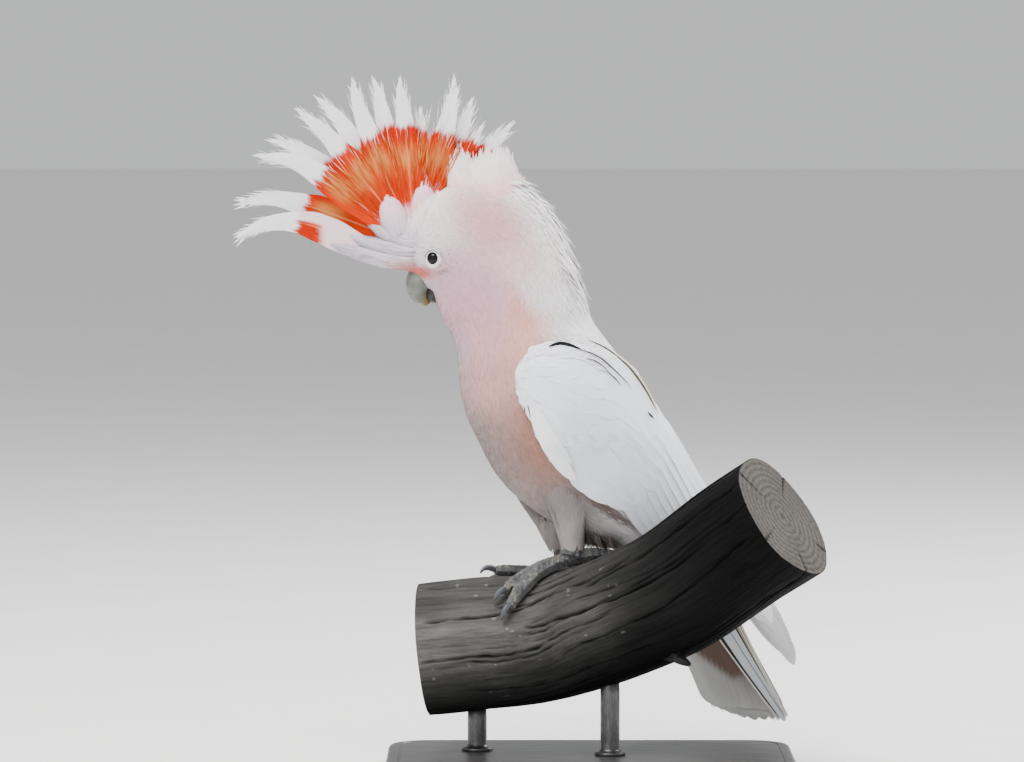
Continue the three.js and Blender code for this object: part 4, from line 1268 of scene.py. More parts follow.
def crest_plumage(material):
    made = Plumage(6)
    for index, (angle, reach, half_angle, lean) in enumerate(CREST_LONG):
        line = crest_line(angle, reach, half_angle, lean)
        t = np.linspace(0, 1, 56)
        centre, heading = curve(line, t), curve_heading(line, t)
        out = np.hypot(centre[:, 0] - CREST_X, centre[:, 2] - CREST_Z)
        half = table(CREST_WIDTH, out * CREST_FULL / reach)
        face = crest_face(heading, lean)
        feather = vane(centre, np.cross(heading, face), face, half, 0.9, 0.0, 21, 0.5, 0.02, 0.2)
        colours = crest_colours(feather[0], feather[2], rng.normal(0, 1.4), index == 0)
        made.add(feather, colours)
    made.piece("crest_feathers", material, ["crest"], 0.7)


def crest_at(line, lean, t):
    """A crest feather's middle, heading, face and side at one share of its length."""
    centre, heading = curve(line, t), curve_heading(line, np.array([t]))
    face = crest_face(heading, lean)[0]
    return centre, heading[0], face, np.cross(face, heading[0])


# Each of these gives barbs as root, heading, face, length, width and bend.
def edge_barbs(line, reach, lean):
    """Hair-fine barbs beside the white end of one feather."""
    for _ in range(26):
        t = rng.uniform(0.58, 0.9)
        centre, heading, face, side = crest_at(line, lean, t)
        side = side * rng.choice((-1, 1))
        out = math.hypot(centre[0] - CREST_X, centre[2] - CREST_Z)
        edge = table(CREST_WIDTH, out * CREST_FULL / reach)
        yield (centre + side * edge * rng.uniform(0.6, 0.9),
               heading + side * rng.uniform(0.02, 0.3), face,
               rng.uniform(6, 13) * (1.3 - 0.6 * t), rng.uniform(0.25, 0.5),
               rng.uniform(-0.8, 0.8))


def split_tip(line, lean, low):
    """The split tip of one feather; the lowest ones are the most split."""
    for k in range(4 if low else 2):
        centre, heading, face, side = crest_at(line, lean, 0.9)
        turn = (k - 1.5) * (0.22 if low else 0.05)
        yield (centre + side * (k - 1.5) * 0.7, heading + side * turn, face,
               rng.uniform(8, 11), 1.7, rng.uniform(0, 1.4) * (1 if low else 0.3))


def stray_barbs():
    """Loose barbs between the feathers, then those lying over the red."""
    for _ in range(90):
        angle = rng.uniform(58, 150)
        root = crest_point(angle, rng.uniform(56, 74), rng.uniform(-6, 6))
        heading = crest_point(angle + rng.normal(0, 4), 100.0) - crest_point(angle, 60.0)
        yield (root, heading, np.array([0, -1, 0]), rng.uniform(12, 24),
               rng.uniform(0.25, 0.45), rng.normal(0, 1.5))
    for _ in range(1100):
        angle, start, face = rng.uniform(63, 147), rng.uniform(22, 62), rng.choice((-1, 1))
        root = crest_point(angle, start, face * (1.2 + 0.085 * start * rng.uniform(0.7, 1)))
        heading = crest_point(angle + rng.normal(0, 2.5), 100.0) - crest_point(angle, 20.0)
        yield (root, heading, np.array([0, face, 0]), rng.uniform(9, 17),
               rng.uniform(0.3, 0.8), rng.normal(0, 0.6))


def crest_fray(material):
    """All the crest's loose barbs, as one piece."""
    barbs = []
    for index, (angle, reach, half_angle, lean) in enumerate(CREST_LONG):
        line = crest_line(angle, reach, half_angle, lean)
        barbs += edge_barbs(line, reach, lean)
        barbs += split_tip(line, lean, index < 2)
    barbs += stray_barbs()
    root, heading, face, length, width, bend = (np.array(part) for part in zip(*barbs))
    laid = free_tufts(root, heading, face, length, width, 0.2, bend)
    count = len(root)
    vary = np.repeat(rng.normal(0, 2.4, count), len(TUFT))
    colours = crest_colours(laid[0].reshape(-1, 3), np.full(count * len(TUFT), 0.4), vary)
    turn = np.arctan2(root[:, 2] - CREST_Z, root[:, 0] - CREST_X)
    away = np.hypot(root[:, 0] - CREST_X, root[:, 2] - CREST_Z)
    maps = tuft_maps(count, turn / TURN + 0.5, away / 120)
    tuft_piece("crest_fray", laid, colours, maps, material, 0.6)


# The soft plumes about the crest's foot.
PLUME_WHITE, PLUME_PINK = (0.93, 0.85, 0.88), (0.92, 0.58, 0.7)
PLUME_BROW, PLUME_LOW, PLUME_BLUSH = (0.57, 0.51, 0.59), (0.93, 0.54, 0.5), (0.9, 0.3, 0.2)
# Each: middle of the base x, z; tip x, z; half width; half depth at the base; bluntness; colour.
PLUMES = [
    ((-117, 329), (-126.5, 357), 9.5, 11, 4, PLUME_PINK),  # the round lobe behind the forehead
    ((-101, 333), (-103.5, 367.5), 11, 13, 1.8, PLUME_PINK),  # the middle peak
    ((-92, 335), (-94, 361), 7.5, 14, 2.2, PLUME_PINK),
    ((-104, 316), (-168, 329.5), 7, 14, 1.3, PLUME_BROW),  # the forehead's, swept up and forwards
    ((-104, 322), (-152, 333), 7, 15, 1.5, PLUME_BROW),
    ((-102, 328), (-134, 336.5), 8.5, 16, 1.7, PLUME_BROW),
]
# The tops of the white plumes along the crown, by their place from the front (-1) to the back (1).
CROWN_TOPS = {-1: 372, -0.76: 384, -0.44: 377, -0.16: 381, 0.23: 384, 0.45: 381, 0.67: 370, 1: 358}


def plume_surface(base, tip, half, depth, blunt, inset):
    """A plume's face: a flattened teardrop. a runs base to tip, b round it."""
    base = np.array((base[0], 0, base[1]), float)
    tip = np.array((tip[0], 0, tip[1]), float)
    heading = unit(tip - base)
    side = np.cross([0, 1, 0], heading)
    # The foremost plumes rise in a curve from the brow.
    bow = 5.0 * max(0.0, -heading[0] - 0.6)

    def surface(a, b):
        a, b = np.broadcast_arrays(np.asarray(a, float), b)
        full = np.sqrt(np.clip(1 - np.clip(a, 0, 1) ** blunt, 0.004, 1))
        wide = np.maximum(half * full - inset, 0.3) * np.cos(b)
        deep = np.maximum(depth * full * (1 - 0.45 * a) - inset, 0.3) * np.sin(b)
        point = base + (tip - base) * a[..., None] + side * wide[..., None]
        point[..., 1] += deep
        point[..., 2] -= bow * 4 * a * (1 - a) * 2
        return point
    return surface


def crown_surface(inset):
    """The plumes that stand in a row along the crown: one fan, thin at its top."""
    def surface(a, b):
        a, b = np.broadcast_arrays(np.asarray(a, float), b)
        place = np.cos(b)
        foot_x, foot_z = -62 + (26 - inset) * place, 345 - 5 * place**2
        top_x, top_z = -62 + (27 - inset) * place, table(CROWN_TOPS, place) - inset
        down = np.clip(1 - a, 0, 1)
        deep = np.maximum(5 + 18 * down**0.9 - 5 * down**6 - inset, 0.25)
        deep = deep * np.sign(np.sin(b)) * np.abs(np.sin(b)) ** 0.5
        return np.stack([foot_x + (top_x - foot_x) * a, deep, foot_z + (top_z - foot_z) * a], -1)
    return surface


def plume_forms(inset):
    """Every plume about the crest's foot: its surface, length and colour."""
    forms = [(plume_surface(base, tip, half, depth, blunt, inset), math.dist(base, tip), tone)
             for base, tip, half, depth, blunt, tone in PLUMES]
    return forms + [(crown_surface(inset), 38.0, PLUME_WHITE)]


def plume_coat(material):
    """Long soft tufts over every plume, as one piece."""
    laid_points, laid_out, colours, u, v = [], [], [], [], []
    forms = plume_forms(1.3)
    for index, (surface, length, tone) in enumerate(forms):
        wide = index == len(forms) - 1
        a, b = surface_roots(surface, 0.02, 0.9, lambda u: 1.1 * COARSE)
        over = rng.uniform(0, 0.4 if wide else 0.14 if index in (1, 2) else 0.06, len(a))
        over = over ** (1.7 if wide else 1)
        fine = 0.75 if tone is PLUME_BROW else 1.0
        reach = np.minimum(rng.uniform(9, 14, len(a)) / fine**2 / length, 1.03 - a + over)
        points, outward = tufts(surface, a, b, reach, rng.normal(0, 0.04, len(a)),
                                rng.uniform(1, 1.9, len(a)) * fine,
                                rng.uniform(0.7, 1.4, len(a)), 0.35, -1)
        tones = plume_colours(surface(a + reach * 0.5, b), tone, a)
        laid_points.append(points)
        laid_out.append(outward)
        colours.append(tuft_colours(len(a), tones, (1.03, 1.03, 1.03), (0.97, 0.94, 0.95), 0.025))
        u.append((index + b / TURN) / len(forms))
        v.append(a)
    u, v = np.concatenate(u), np.concatenate(v)
    laid = np.concatenate(laid_points), np.concatenate(laid_out)
    tuft_piece("crest_plumes", laid, np.vstack(colours), tuft_maps(len(u), u, v), material)


def plume_colours(points, tone, along):
    """A plume's own colour, the head's at its foot, with a salmon blush low down between the front
    lobes, and pinker towards the crown."""
    x, z = points[:, 0], points[:, 2]
    colour = blend(marks_at(points), tone, smooth_step(0.05, 0.45, along))
    low = smooth_step(382, 356, z) * smooth_step(-96, -88, x)
    colour = blend(colour, PLUME_LOW, 0.6 * low)
    blush = np.exp(-(((x + 103) / 7) ** 2 + ((z - 342) / 6) ** 2))
    return blend(colour, PLUME_BLUSH, 0.7 * blush)


# ------------------------------------------------------------------ the tail
TAIL_ROOT, TAIL_TIP = np.array((53, 15, 145.0)), np.array((111, 36.5, 23.5))
TAIL_ROLL, TAIL_FAN = 50, 10
# The grey and the brown are painted shade over the tail's underside; the brown is also its salmon
# base.
TAIL_GREY, TAIL_PALE, TAIL_BROWN = (0.55, 0.545, 0.52), (0.8, 0.8, 0.79), (0.15, 0.085, 0.062)
TAIL_FRINGE = (0.72, 0.72, 0.71)
# Each feather of the fan: its place across (-1 right to 1 left, as the camera has it), how far it
# lies under the fan's plane, half width.
TAIL_FEATHERS = [
    (1.0, 2.0, 12), (0.72, 1.5, 10.5), (0.46, 1.0, 10.5), (0.2, 0.6, 10.5), (-0.06, 0.3, 10),
    (-0.3, 0.1, 9.5), (-0.5, 0.0, 8),
]
# The feathers folded together at its right side show as a stack of edges. Each: place across in
# millimetres where the tail leaves the branch and at the tip, half width at both, how far it lies
# under the fan's plane, colour.
# The near-black and dark grey strips are painted shadow between the bright edges.
STACK_BRIGHT, STACK_SHADOW, STACK_TAN = (0.9, 0.94, 1.0), (0.05, 0.045, 0.04), (0.42, 0.38, 0.32)
TAIL_STACK = [
    (0.6, -14.4, 0.8, 0.5, 3.2, STACK_SHADOW), (1.9, -13.2, 0.7, 0.6, 3.6, (0.97, 0.93, 0.86)),
    (-8.6, -17.6, 7.0, 4.2, 2.8, STACK_BRIGHT), (-10, -19.6, 0.35, 0.3, 3.8, (0.3, 0.3, 0.32)),
    (-16.5, -22, 1.6, 0.8, 3.3, STACK_SHADOW), (-18.6, -22.2, 1.5, 0.5, 4.2, STACK_TAN),
    (-20.4, -21.8, 0.5, 0.5, 5.0, (0.9, 0.86, 0.76)), (-21.4, -22.4, 0.7, 0.4, 4.6, STACK_SHADOW),
    (-22.6, -22.9, 0.9, 0.7, 5.2, (0.85, 0.84, 0.8)),
]
TAIL_AXIS = unit(TAIL_TIP - TAIL_ROOT)
TAIL_LENGTH = float(np.linalg.norm(TAIL_TIP - TAIL_ROOT))
TAIL_BELLY = unit(np.cross([0, 1, 0], TAIL_AXIS))
TAIL_ACROSS = (unit(np.cross(TAIL_AXIS, TAIL_BELLY)) * math.cos(TAIL_ROLL * DEG)
               + TAIL_BELLY * math.sin(TAIL_ROLL * DEG))
TAIL_UNDER = np.cross(TAIL_ACROSS, TAIL_AXIS)


def tail_colours(points, own):
    """Grey from painted shade, paler along its left and lower edges, with a brown wedge by the
    stack: the salmon base, darkened by painted shade.
    """
    away = points - TAIL_ROOT
    across, along = away @ TAIL_ACROSS, away @ TAIL_AXIS / TAIL_LENGTH
    fine = hash_noise(np.stack([across * 1.1, along * 3, along * 0], 1), 1.0, 51, 2)
    grey = np.array(TAIL_GREY) * (1 + 0.12 * fine + 0.05 * own)[:, None]
    pale = smooth_step(23, 31, across) + smooth_step(0.86, 0.98, along + 0.004 * across)
    grey = blend(grey, TAIL_PALE, 0.75 * np.clip(pale, 0, 1))
    end = np.minimum(0.54 + 0.0103 * (26.6 - across), 0.75) + 0.005 * fine
    wedge = smooth_step(0.04, -0.03, along - end) * smooth_step(29, 24, across)
    faint = 0.5 * smooth_step(0.16, -0.03, along - end) * smooth_step(10, 2, across)
    return blend(grey, TAIL_BROWN, 0.92 * np.maximum(wedge, faint))


def tail_plumage(material):
    """Broad blunt feathers in a narrow fan whose underside turns to the left. Those of its near
    side are folded into a stack whose bright edges lie side by side."""
    made = Plumage(6)
    t = np.linspace(0, 1, 44)

    def put(centre, heading, half, deep_tone, columns=9):
        under = unit(TAIL_UNDER - heading * (heading @ TAIL_UNDER)[:, None])
        feather = vane(centre, np.cross(heading, under), under, half, 0.3, 0.0, columns, 0.6, 0.015)
        made.add(feather, deep_tone(feather))

    for share, deep, wide in TAIL_FEATHERS:
        angle = share * TAIL_FAN * DEG / 2
        heading = TAIL_AXIS * math.cos(angle) + TAIL_ACROSS * math.sin(angle)
        reach = TAIL_LENGTH * (0.98 - 0.1 * max(share, 0) ** 1.5)
        start = TAIL_ROOT + TAIL_ACROSS * (share * 15) + TAIL_UNDER * deep
        centre = start + heading * (reach * t)[:, None] + TAIL_UNDER * (6 * t * (1 - t))[:, None]
        swell = np.minimum(1, 0.42 + 0.9 * t)
        tip = np.sqrt(np.clip(1 - ((t - 0.9) / 0.1).clip(0) ** 4, 0.05, 1))
        own = rng.standard_normal()
        put(centre, np.tile(heading, (len(t), 1)), wide * swell * tip,
            lambda made: tail_colours(made[0], own))
    for first, last, wide, narrow, deep, tone in TAIL_STACK:
        share = (t - 0.48) / 0.5
        off = first + (last - first) * share
        reach = TAIL_LENGTH * (1.0 if tone is STACK_BRIGHT else 0.975)
        centre = (TAIL_ROOT + TAIL_AXIS * (reach * t)[:, None] + TAIL_ACROSS * off[:, None]
                  + TAIL_UNDER * (deep + 6 * t * (1 - t))[:, None])
        half = np.maximum(wide + (narrow - wide) * np.clip(share, -0.3, 1), 0.25)
        half = half * np.sqrt(np.clip(1 - ((t - 0.93) / 0.07).clip(0) ** 3, 0.1, 1))
        shade = np.array(tone) * (1 + 0.03 * rng.standard_normal())
        put(centre, unit(np.gradient(centre, axis=0)), half,
            lambda made: np.clip(np.tile(shade, (len(made[0]), 1)), 0, 1), 7)
    made.piece("tail_feathers", material, ["tail"], 0.7)


def tail_fringe(material):
    """Short loose barbs along the tail's left edge and its blunt lower one."""
    count = 420
    share = rng.uniform(0, 1, count)
    left = share < 0.35
    across = np.where(left, 31 - 2 * share, 29 - (share - 0.35) * 66)
    below = 0.81 + 0.135 * (np.maximum(share - 0.35, 0) / 0.65) ** 0.6
    along = np.where(left, 0.5 + share * 0.92, below)
    root = (TAIL_ROOT + TAIL_ACROSS * across[:, None] + TAIL_AXIS * (TAIL_LENGTH * along)[:, None]
            + TAIL_UNDER * rng.uniform(0.5, 2.5, count)[:, None])
    heading = TAIL_AXIS + TAIL_ACROSS * (np.where(left, 0.3, 0.02)
                                         + rng.normal(0, 0.12, count))[:, None]
    laid = free_tufts(root, heading, np.tile(TAIL_UNDER, (count, 1)), rng.uniform(4, 8, count),
                      rng.uniform(0.8, 1.5, count), 0.2, rng.normal(0, 0.3, count))
    base = np.tile(np.array(TAIL_FRINGE), (count, 1))
    maps = tuft_maps(count, across / 80 + 0.5, along)
    tuft_piece("tail_fringe", laid, tuft_colours(count, base), maps, material, 0.7)


# ------------------------------------------------------------------ the skin
FLESH_NODES = ["head", "neck", "breast", "abdomen", "rump", "thigh_left", "thigh_right"]
SKIN_TONE = (0.97, 0.92, 0.92)  # the skin is a shade pinker than the coat over it


def round_tube(surface, a, sides):
    """A closed tube over a surface whose second coordinate runs round it."""
    return tube(surface(a[:, None], full_turn(sides)[None]))


def skin_piece(material):
    """One skin over trunk, shins and the arms of the wings, inside the coat by its depth."""
    u = np.concatenate([np.linspace(-1, 0, 16)[1:], np.linspace(0, 19, 190)[1:]])
    parts = [round_tube(skin_point, u, 144)]
    for name in HIPS:
        shin = partial(shin_point, name, grow=-SHIN_COAT)
        parts.append(round_tube(shin, np.linspace(0, 1, 36), 48))
    w, s = np.linspace(0.35, 12.2, 90)[:, None], np.linspace(0.05, 0.95, 30)[None]
    thick = smooth_rows(WING, w[:, 0])[:, 7:8] - 1.2
    for side in (-1, 1):
        outer = wing_point(w, s, side, -1.7)
        inner = wing_point(w, s[:, ::-1], side, -1.7 - thick)
        parts.append(tube(np.concatenate([outer, inner], 1)))
    for surface, _, _ in plume_forms(1.6):
        parts.append(round_tube(surface, np.linspace(0, 0.92, 26), 36))
    points, faces = joined(parts)
    piece = make_piece("skin", points, faces, material, FLESH_NODES, slot="pink_feathers")
    mesh = one_surface(piece, 1.5 * COARSE, 6)
    points, normals = mesh_points(mesh)
    for side, eye in zip((-1, 1), EYE_CENTRES):
        points = press_socket(points, eye, side)
    points += normals * (0.25 * hash_noise(points, 3.5, 11))[:, None]
    set_points(mesh, points)
    paint_vertices(mesh, marks_at(points) * SKIN_TONE)
    dress(piece, material, slot="pink_feathers")


def press_socket(points, eye, side):
    """The skin round an eye sinks to a shallow socket, in which the lids are set."""
    away = points - eye
    flat = np.hypot(away[:, 0], away[:, 2])
    same = points[:, 1] * side > 4
    dip = np.exp(-((flat / 5.2) ** 4)) * same
    return points - np.outer(dip * 2.2, [0, side, 0])


# ------------------------------------------------------------------ the eyes
eye_sizes = [(high - low) / MM for low, high in eye_boxes]
EYE_CENTRES = [np.array((low + high) / 2 / MM) - [0, BIRD_Y, 0] for low, high in eye_boxes]
EYE_RADIUS = min(eye_sizes[0]) / 2
EYE_OPENING = 3.5  # half the dark disc that shows between the lids
EYE_RING = 5.2  # half the bare pale ring round it


LID_PALE, LID_OUTER, LID_EDGE = (0.95, 0.9, 0.95), (0.75, 0.52, 0.58), (0.03, 0.02, 0.02)
PUPIL, IRIS_GLOW = np.array((0.002, 0.002, 0.002)), np.array((0.006, 0.004, 0.003))


def eyeball_piece(name, centre, out, spoke, material):
    """A near-black ball with a raised cornea. spoke gives directions across its axis."""
    lat = np.linspace(0, math.pi, 26)[1:-1]
    radius = EYE_RADIUS * (0.97 + 0.05 * np.exp(-((lat / 0.55) ** 4)))
    points, faces = tube(centre + out * (radius * np.cos(lat))[:, None, None]
                         + spoke(full_turn(40)) * (radius * np.sin(lat))[:, None, None])
    from_axis = np.linalg.norm(np.cross(points - centre, out), axis=1)
    colour = PUPIL + smooth_step(1.7, 1.9, from_axis)[:, None] * IRIS_GLOW
    make_piece(f"eyeball_{name}", points, faces, material, [f"eye_{name}"], colour)


def lids_piece(name, centre, out, spoke, material):
    """The lids: a low ring whose inner edge closes on the ball, with fine radial wrinkles."""
    turn, profile = full_turn(120), np.linspace(0, 1, 14)
    spread = EYE_OPENING + (EYE_RING + 1.3 - EYE_OPENING) * profile
    bead = 0.55 * np.exp(-(((profile - 0.16) / 0.16) ** 2))
    fold = 0.3 * np.exp(-(((profile - 0.55) / 0.12) ** 2))
    drop = math.sqrt(EYE_RADIUS**2 - EYE_OPENING**2)
    height = drop + 0.25 + bead + fold - 1.6 * profile**1.6
    wrinkle = 0.1 * np.sin(turn * 19) * np.sin(turn * 7 + 1) * profile[:, None]
    wide = spread[:, None] * (1 - 0.05 * np.cos(2 * turn))[None]
    back = 0.06 * np.sin(turn - 0.7)[None] * profile[:, None]
    top = (centre + out * (height[:, None] + wrinkle + back)[..., None]
           + spoke(turn) * wide[..., None])
    loop = np.concatenate([top, top[::-1] - out * 0.9])
    faces = grid_faces(len(loop) + 1, len(turn)) % (len(loop) * len(turn))
    ramp = np.concatenate([profile, profile[::-1]])
    tone = blend(np.array(LID_PALE), LID_OUTER, smooth_step(0.55, 0.9, ramp))
    tone = blend(tone, LID_EDGE, smooth_step(0.1, 0.0, ramp))
    colour = np.repeat(tone, len(turn), axis=0)
    make_piece(f"lids_{name}", loop.reshape(-1, 3), [faces], material, (), colour, slot="eye")


def eye_pieces(material, lid_material):
    """Each eye's ball and the bare wrinkled ring of two lids round it."""
    for name, side, centre in zip(("left", "right"), (-1, 1), EYE_CENTRES):
        out = unit(np.array([-0.28, side, 0.02]))
        right = unit(np.cross([0, 0, 1], out))
        up = np.cross(out, right)

        def spoke(turn):
            return (right * np.cos(turn)[:, None] + up * np.sin(turn)[:, None])[None]

        eyeball_piece(name, centre, out, spoke, material)
        lids_piece(name, centre, out, spoke, lid_material)


# ------------------------------------------------------------------ the bill
BILL_UPPER = ([(-99, 0, 313), (-106, 0, 303.5), (-105.8, 0, 295.5), (-100.5, 0, 288.6)],
              [(8.2, 8.4), (7.9, 8), (6.0, 6.4), (1.5, 1.9)])
BILL_LOWER = ([(-88, 0, 301), (-94.3, 0, 297), (-98.4, 0, 293), (-100, 0, 291.5)],
              [(6.6, 5.6), (6.4, 6), (5.2, 4.6), (3, 2.2)])


BILL_GREY, BILL_YELLOW = np.array((0.2, 0.21, 0.196)), np.array((0.02, -0.05, -0.2))
# The lower half's colour is near black: painted shade under the upper half.
BILL_TIP, LOWER_BILL_SHADE = (0.12, 0.11, 0.09), np.array((0.022, 0.02, 0.018))


def horn_tube(line, sizes, rows, sides=72):
    """A half of the bill: a loft along a line with given half width and half depth."""
    t, a = np.linspace(0, 1, rows), full_turn(sides)
    centre, heading = curve(line, t), curve_heading(line, t)
    out = unit(np.cross(heading, [0, 1, 0]))
    size = curve(sizes, t)
    narrow = 1 - 0.22 * np.cos(a)
    keel = 1 + 0.05 * np.exp(-((a / 0.3) ** 2)) + 0.05 * np.exp(-(((a - TURN) / 0.3) ** 2))
    lines = 1 + 0.006 * np.sin(46 * t + 2 * np.sin(3 * t))[:, None] * (0.5 + 0.5 * np.cos(a))
    deep = size[:, 1:2] * np.cos(a) * keel * lines
    wide = size[:, 0:1] * narrow * np.sin(a) * lines
    return tube(centre[:, None] + out[:, None] * deep[..., None]
                + np.array([0, 1, 0]) * wide[..., None])


def bill_pieces(material):
    points, faces = horn_tube(*BILL_UPPER, rows=60)
    x, z = points[:, 0], points[:, 2]
    tip = smooth_step(299, 290, z) * smooth_step(-106, -100, x)
    dark = smooth_step(291, 288, z) * smooth_step(-103, -99, x)
    colour = blend(BILL_GREY + tip[:, None] * BILL_YELLOW, BILL_TIP, dark)
    colour *= (1 + 0.1 * hash_noise(points, 4, 21))[:, None]
    make_piece("bill_upper_horn", points, faces, material, ["bill_upper"], colour)
    points, faces = horn_tube(*BILL_LOWER, rows=40)
    # Near black: painted shade under the upper half.
    colour = LOWER_BILL_SHADE * (1 + 0.15 * hash_noise(points, 3, 22))[:, None]
    make_piece("bill_lower_horn", points, faces, material, ["bill_lower"], colour)


# ------------------------------------------------------------------ feet and claws
def refined(name, nodes, grow, voxel, rounds, material, relief=None, colour=None):
    """A smooth piece over CAD nodes: grown a little, made one surface and given relief."""
    parts = []
    for node in nodes:
        mesh = frame["nodes"][node].data
        mesh.calc_loop_triangles()
        corners = read(mesh.loop_triangles, "vertices", 3, np.int32)
        parts.append((mesh_points(mesh)[0], [corners]))
    points, faces = joined(parts)
    piece = make_piece(name, points, faces, material, nodes)
    weld = piece.modifiers.new("weld", "WELD")
    weld.merge_threshold = 0.02 * MM
    swell = piece.modifiers.new("grow", "DISPLACE")
    swell.strength, swell.mid_level = grow * MM, 0.0
    mesh = one_surface(piece, voxel, rounds)
    points, normals = mesh_points(mesh)
    if relief is not None:
        points = points + normals * relief(points)[:, None]
        set_points(mesh, points)
    if colour is not None:
        paint_vertices(mesh, colour(points))
    dress(piece, material)


def scutes(points):
    """Low rounded scales in rows across the toes, with creases between them."""
    _, _, heading, _ = perch_frame(0.43)
    along = points @ heading
    row = np.sin(along * 2.3 + 0.8 * hash_noise(points, 5, 31))
    bead = hash_noise(points, 1.7, 33, 1)
    pad = hash_noise(points, 6.5, 34, 1)
    return 0.18 * row + 0.22 * bead + 0.45 * pad - 0.1


def claw_colour(points):
    tone = np.array((0.075, 0.08, 0.09))
    return tone * (1 + 0.25 * hash_noise(points, 2.5, 35))[:, None]


# ------------------------------------------------------------------ the branch
PERCH_LINE = [(-102, -2, 74), (-68, -6, 77.5), (-37, -10, 80.5), (-8, -18, 88), (22, -36, 100.5),
              (53, -57, 116.5), (92, -78, 147), (115, -90, 164)]
PERCH_RADIUS = 40
PERCH_LENGTH = 266
# Drying cracks: start and end along the branch (0 to 1), start and end angle from the top towards
# the left, half width and depth.
CRACKS = [
    (0.0, 62, 0.5, 50, 0.9, 5), (0.18, 34, 0.62, 30, 0.8, 4), (0.3, 76, 0.86, 84, 1.0, 6),
    (0.0, 98, 0.4, 92, 0.9, 5), (0.42, 112, 1.0, 100, 0.8, 4), (0.55, 58, 1.0, 50, 1.0, 5),
    (0.02, 20, 0.24, 24, 0.6, 3), (0.66, 28, 1.0, 20, 0.7, 4), (0.1, 128, 0.7, 138, 0.9, 5),
    (0.05, -30, 0.6, -38, 0.9, 5), (0.4, -70, 1.0, -62, 1.0, 6), (0.0, -95, 0.5, -100, 1.0, 6),
    (0.3, -140, 0.95, -132, 0.9, 5), (0.0, 170, 0.45, 176, 0.9, 5), (0.5, 158, 1.0, 166, 0.9, 4),
]


def perch_frame(share):
    """The branch's middle, up, heading and left at shares of its length."""
    middle = curve(PERCH_LINE, share)
    heading = curve_heading(PERCH_LINE, np.asarray(share, float))
    left = -unit(np.cross([0, 0, 1], heading))
    up = unit(np.cross(left, heading))
    up = np.where(up[..., 2:3] < 0, -up, up)
    return middle, up, heading, left


def grain_layer(piece, places):
    """Gives the wood's shader places that run with the grain."""
    layer = piece.data.attributes.new("grain", "FLOAT_VECTOR", "POINT")
    layer.data.foreach_set("vector", (places * MM).astype(np.float32).ravel())


def perch_radius(share, angle):
    swell = 0.03 * np.sin(7 * share + 1) + 0.015 * np.sin(3 * angle + 9 * share)
    return PERCH_RADIUS * (1 + swell + 0.012 * np.cos(5 * angle - 4 * share))


def perch_surface(share, angle, inwards):
    middle, up, _, left = perch_frame(share)
    reach = np.asarray(perch_radius(share, angle) - inwards)[..., None]
    return middle + up * reach * np.cos(angle)[..., None] + left * reach * np.sin(angle)[..., None]


FINE_CRACKS = 46
# Checks in the sawn ends: angle, and how near the heart they begin (0 to 1).
END_CHECKS = ((0.6, 0.1), (1.9, 0.4), (-0.9, 0.25), (-2.3, 0.5), (2.9, 0.35))
END_RINGS = np.linspace(1, 0, 34)[1:-1]  # shares of the radius, rim to heart
RING_WAVES = 150
WOOD_GREY, WOOD_SAWN = np.array((1.02, 1.0, 0.98)), np.array((1.1, 1.0, 0.88))


def half_turn_away(angle):
    """An angle brought within half a turn of 0."""
    return (angle + math.pi) % TURN - math.pi


def open_cracks(s, a):
    """How open the bark is (0 to 1) and how deep, at shares of the length and angles."""
    opened, deep = np.zeros(s.shape), 0
    starts = zip(rng.uniform(-0.1, 0.8, FINE_CRACKS), rng.uniform(-180, 180, FINE_CRACKS))
    fine = [(s0, a0, s0 + rng.uniform(0.12, 0.5), a0 + rng.uniform(-12, 8),
             rng.uniform(0.6, 0.9), 2.4) for s0, a0 in starts]
    for s0, a0, s1, a1, width, depth in CRACKS + fine:
        t = (s - s0) / (s1 - s0)
        line = (a0 + (a1 - a0) * t) * DEG
        line = line + 0.022 * np.sin(13 * s + a0) + 0.008 * np.sin(47 * s + a1)
        line = line + 0.004 * np.sin(131 * s)
        away = np.abs(half_turn_away(a - line)) * PERCH_RADIUS
        ends = smooth_step(0, 0.1, t) * smooth_step(1, 0.85, t)
        pulse = 0.55 + 0.45 * np.sin(23 * s + a0) * np.sin(57 * s + a1)
        mouth = np.exp(-((away / (width * (0.5 + 0.5 * pulse))) ** 2))
        mouth = mouth * ends * (0.35 + 0.65 * pulse)
        opened = np.maximum(opened, mouth)
        deep = deep + mouth * depth * 0.55
    return opened, deep


def sawn_end(edge, share, outward, angle):
    """Rings drawn in from the branch's rim to its middle, cracked out from the heart."""
    middle, _, heading, _ = perch_frame(np.array(share))
    check = np.maximum.reduce([
        np.exp(-((half_turn_away(angle - start) / 0.025) ** 2))
        * smooth_step(reach, 1, END_RINGS)[:, None] for start, reach in END_CHECKS])
    rough = 0.12 * np.sin(END_RINGS * RING_WAVES)[:, None] - 1.4 * check
    rings = middle + (edge - middle) * END_RINGS[:, None, None] ** 0.9
    grain = 0.11 + 0.03 * np.sin(END_RINGS * RING_WAVES)[:, None] - 0.09 * check
    return rings + heading * (outward * rough)[..., None], grain[..., None] * WOOD_SAWN


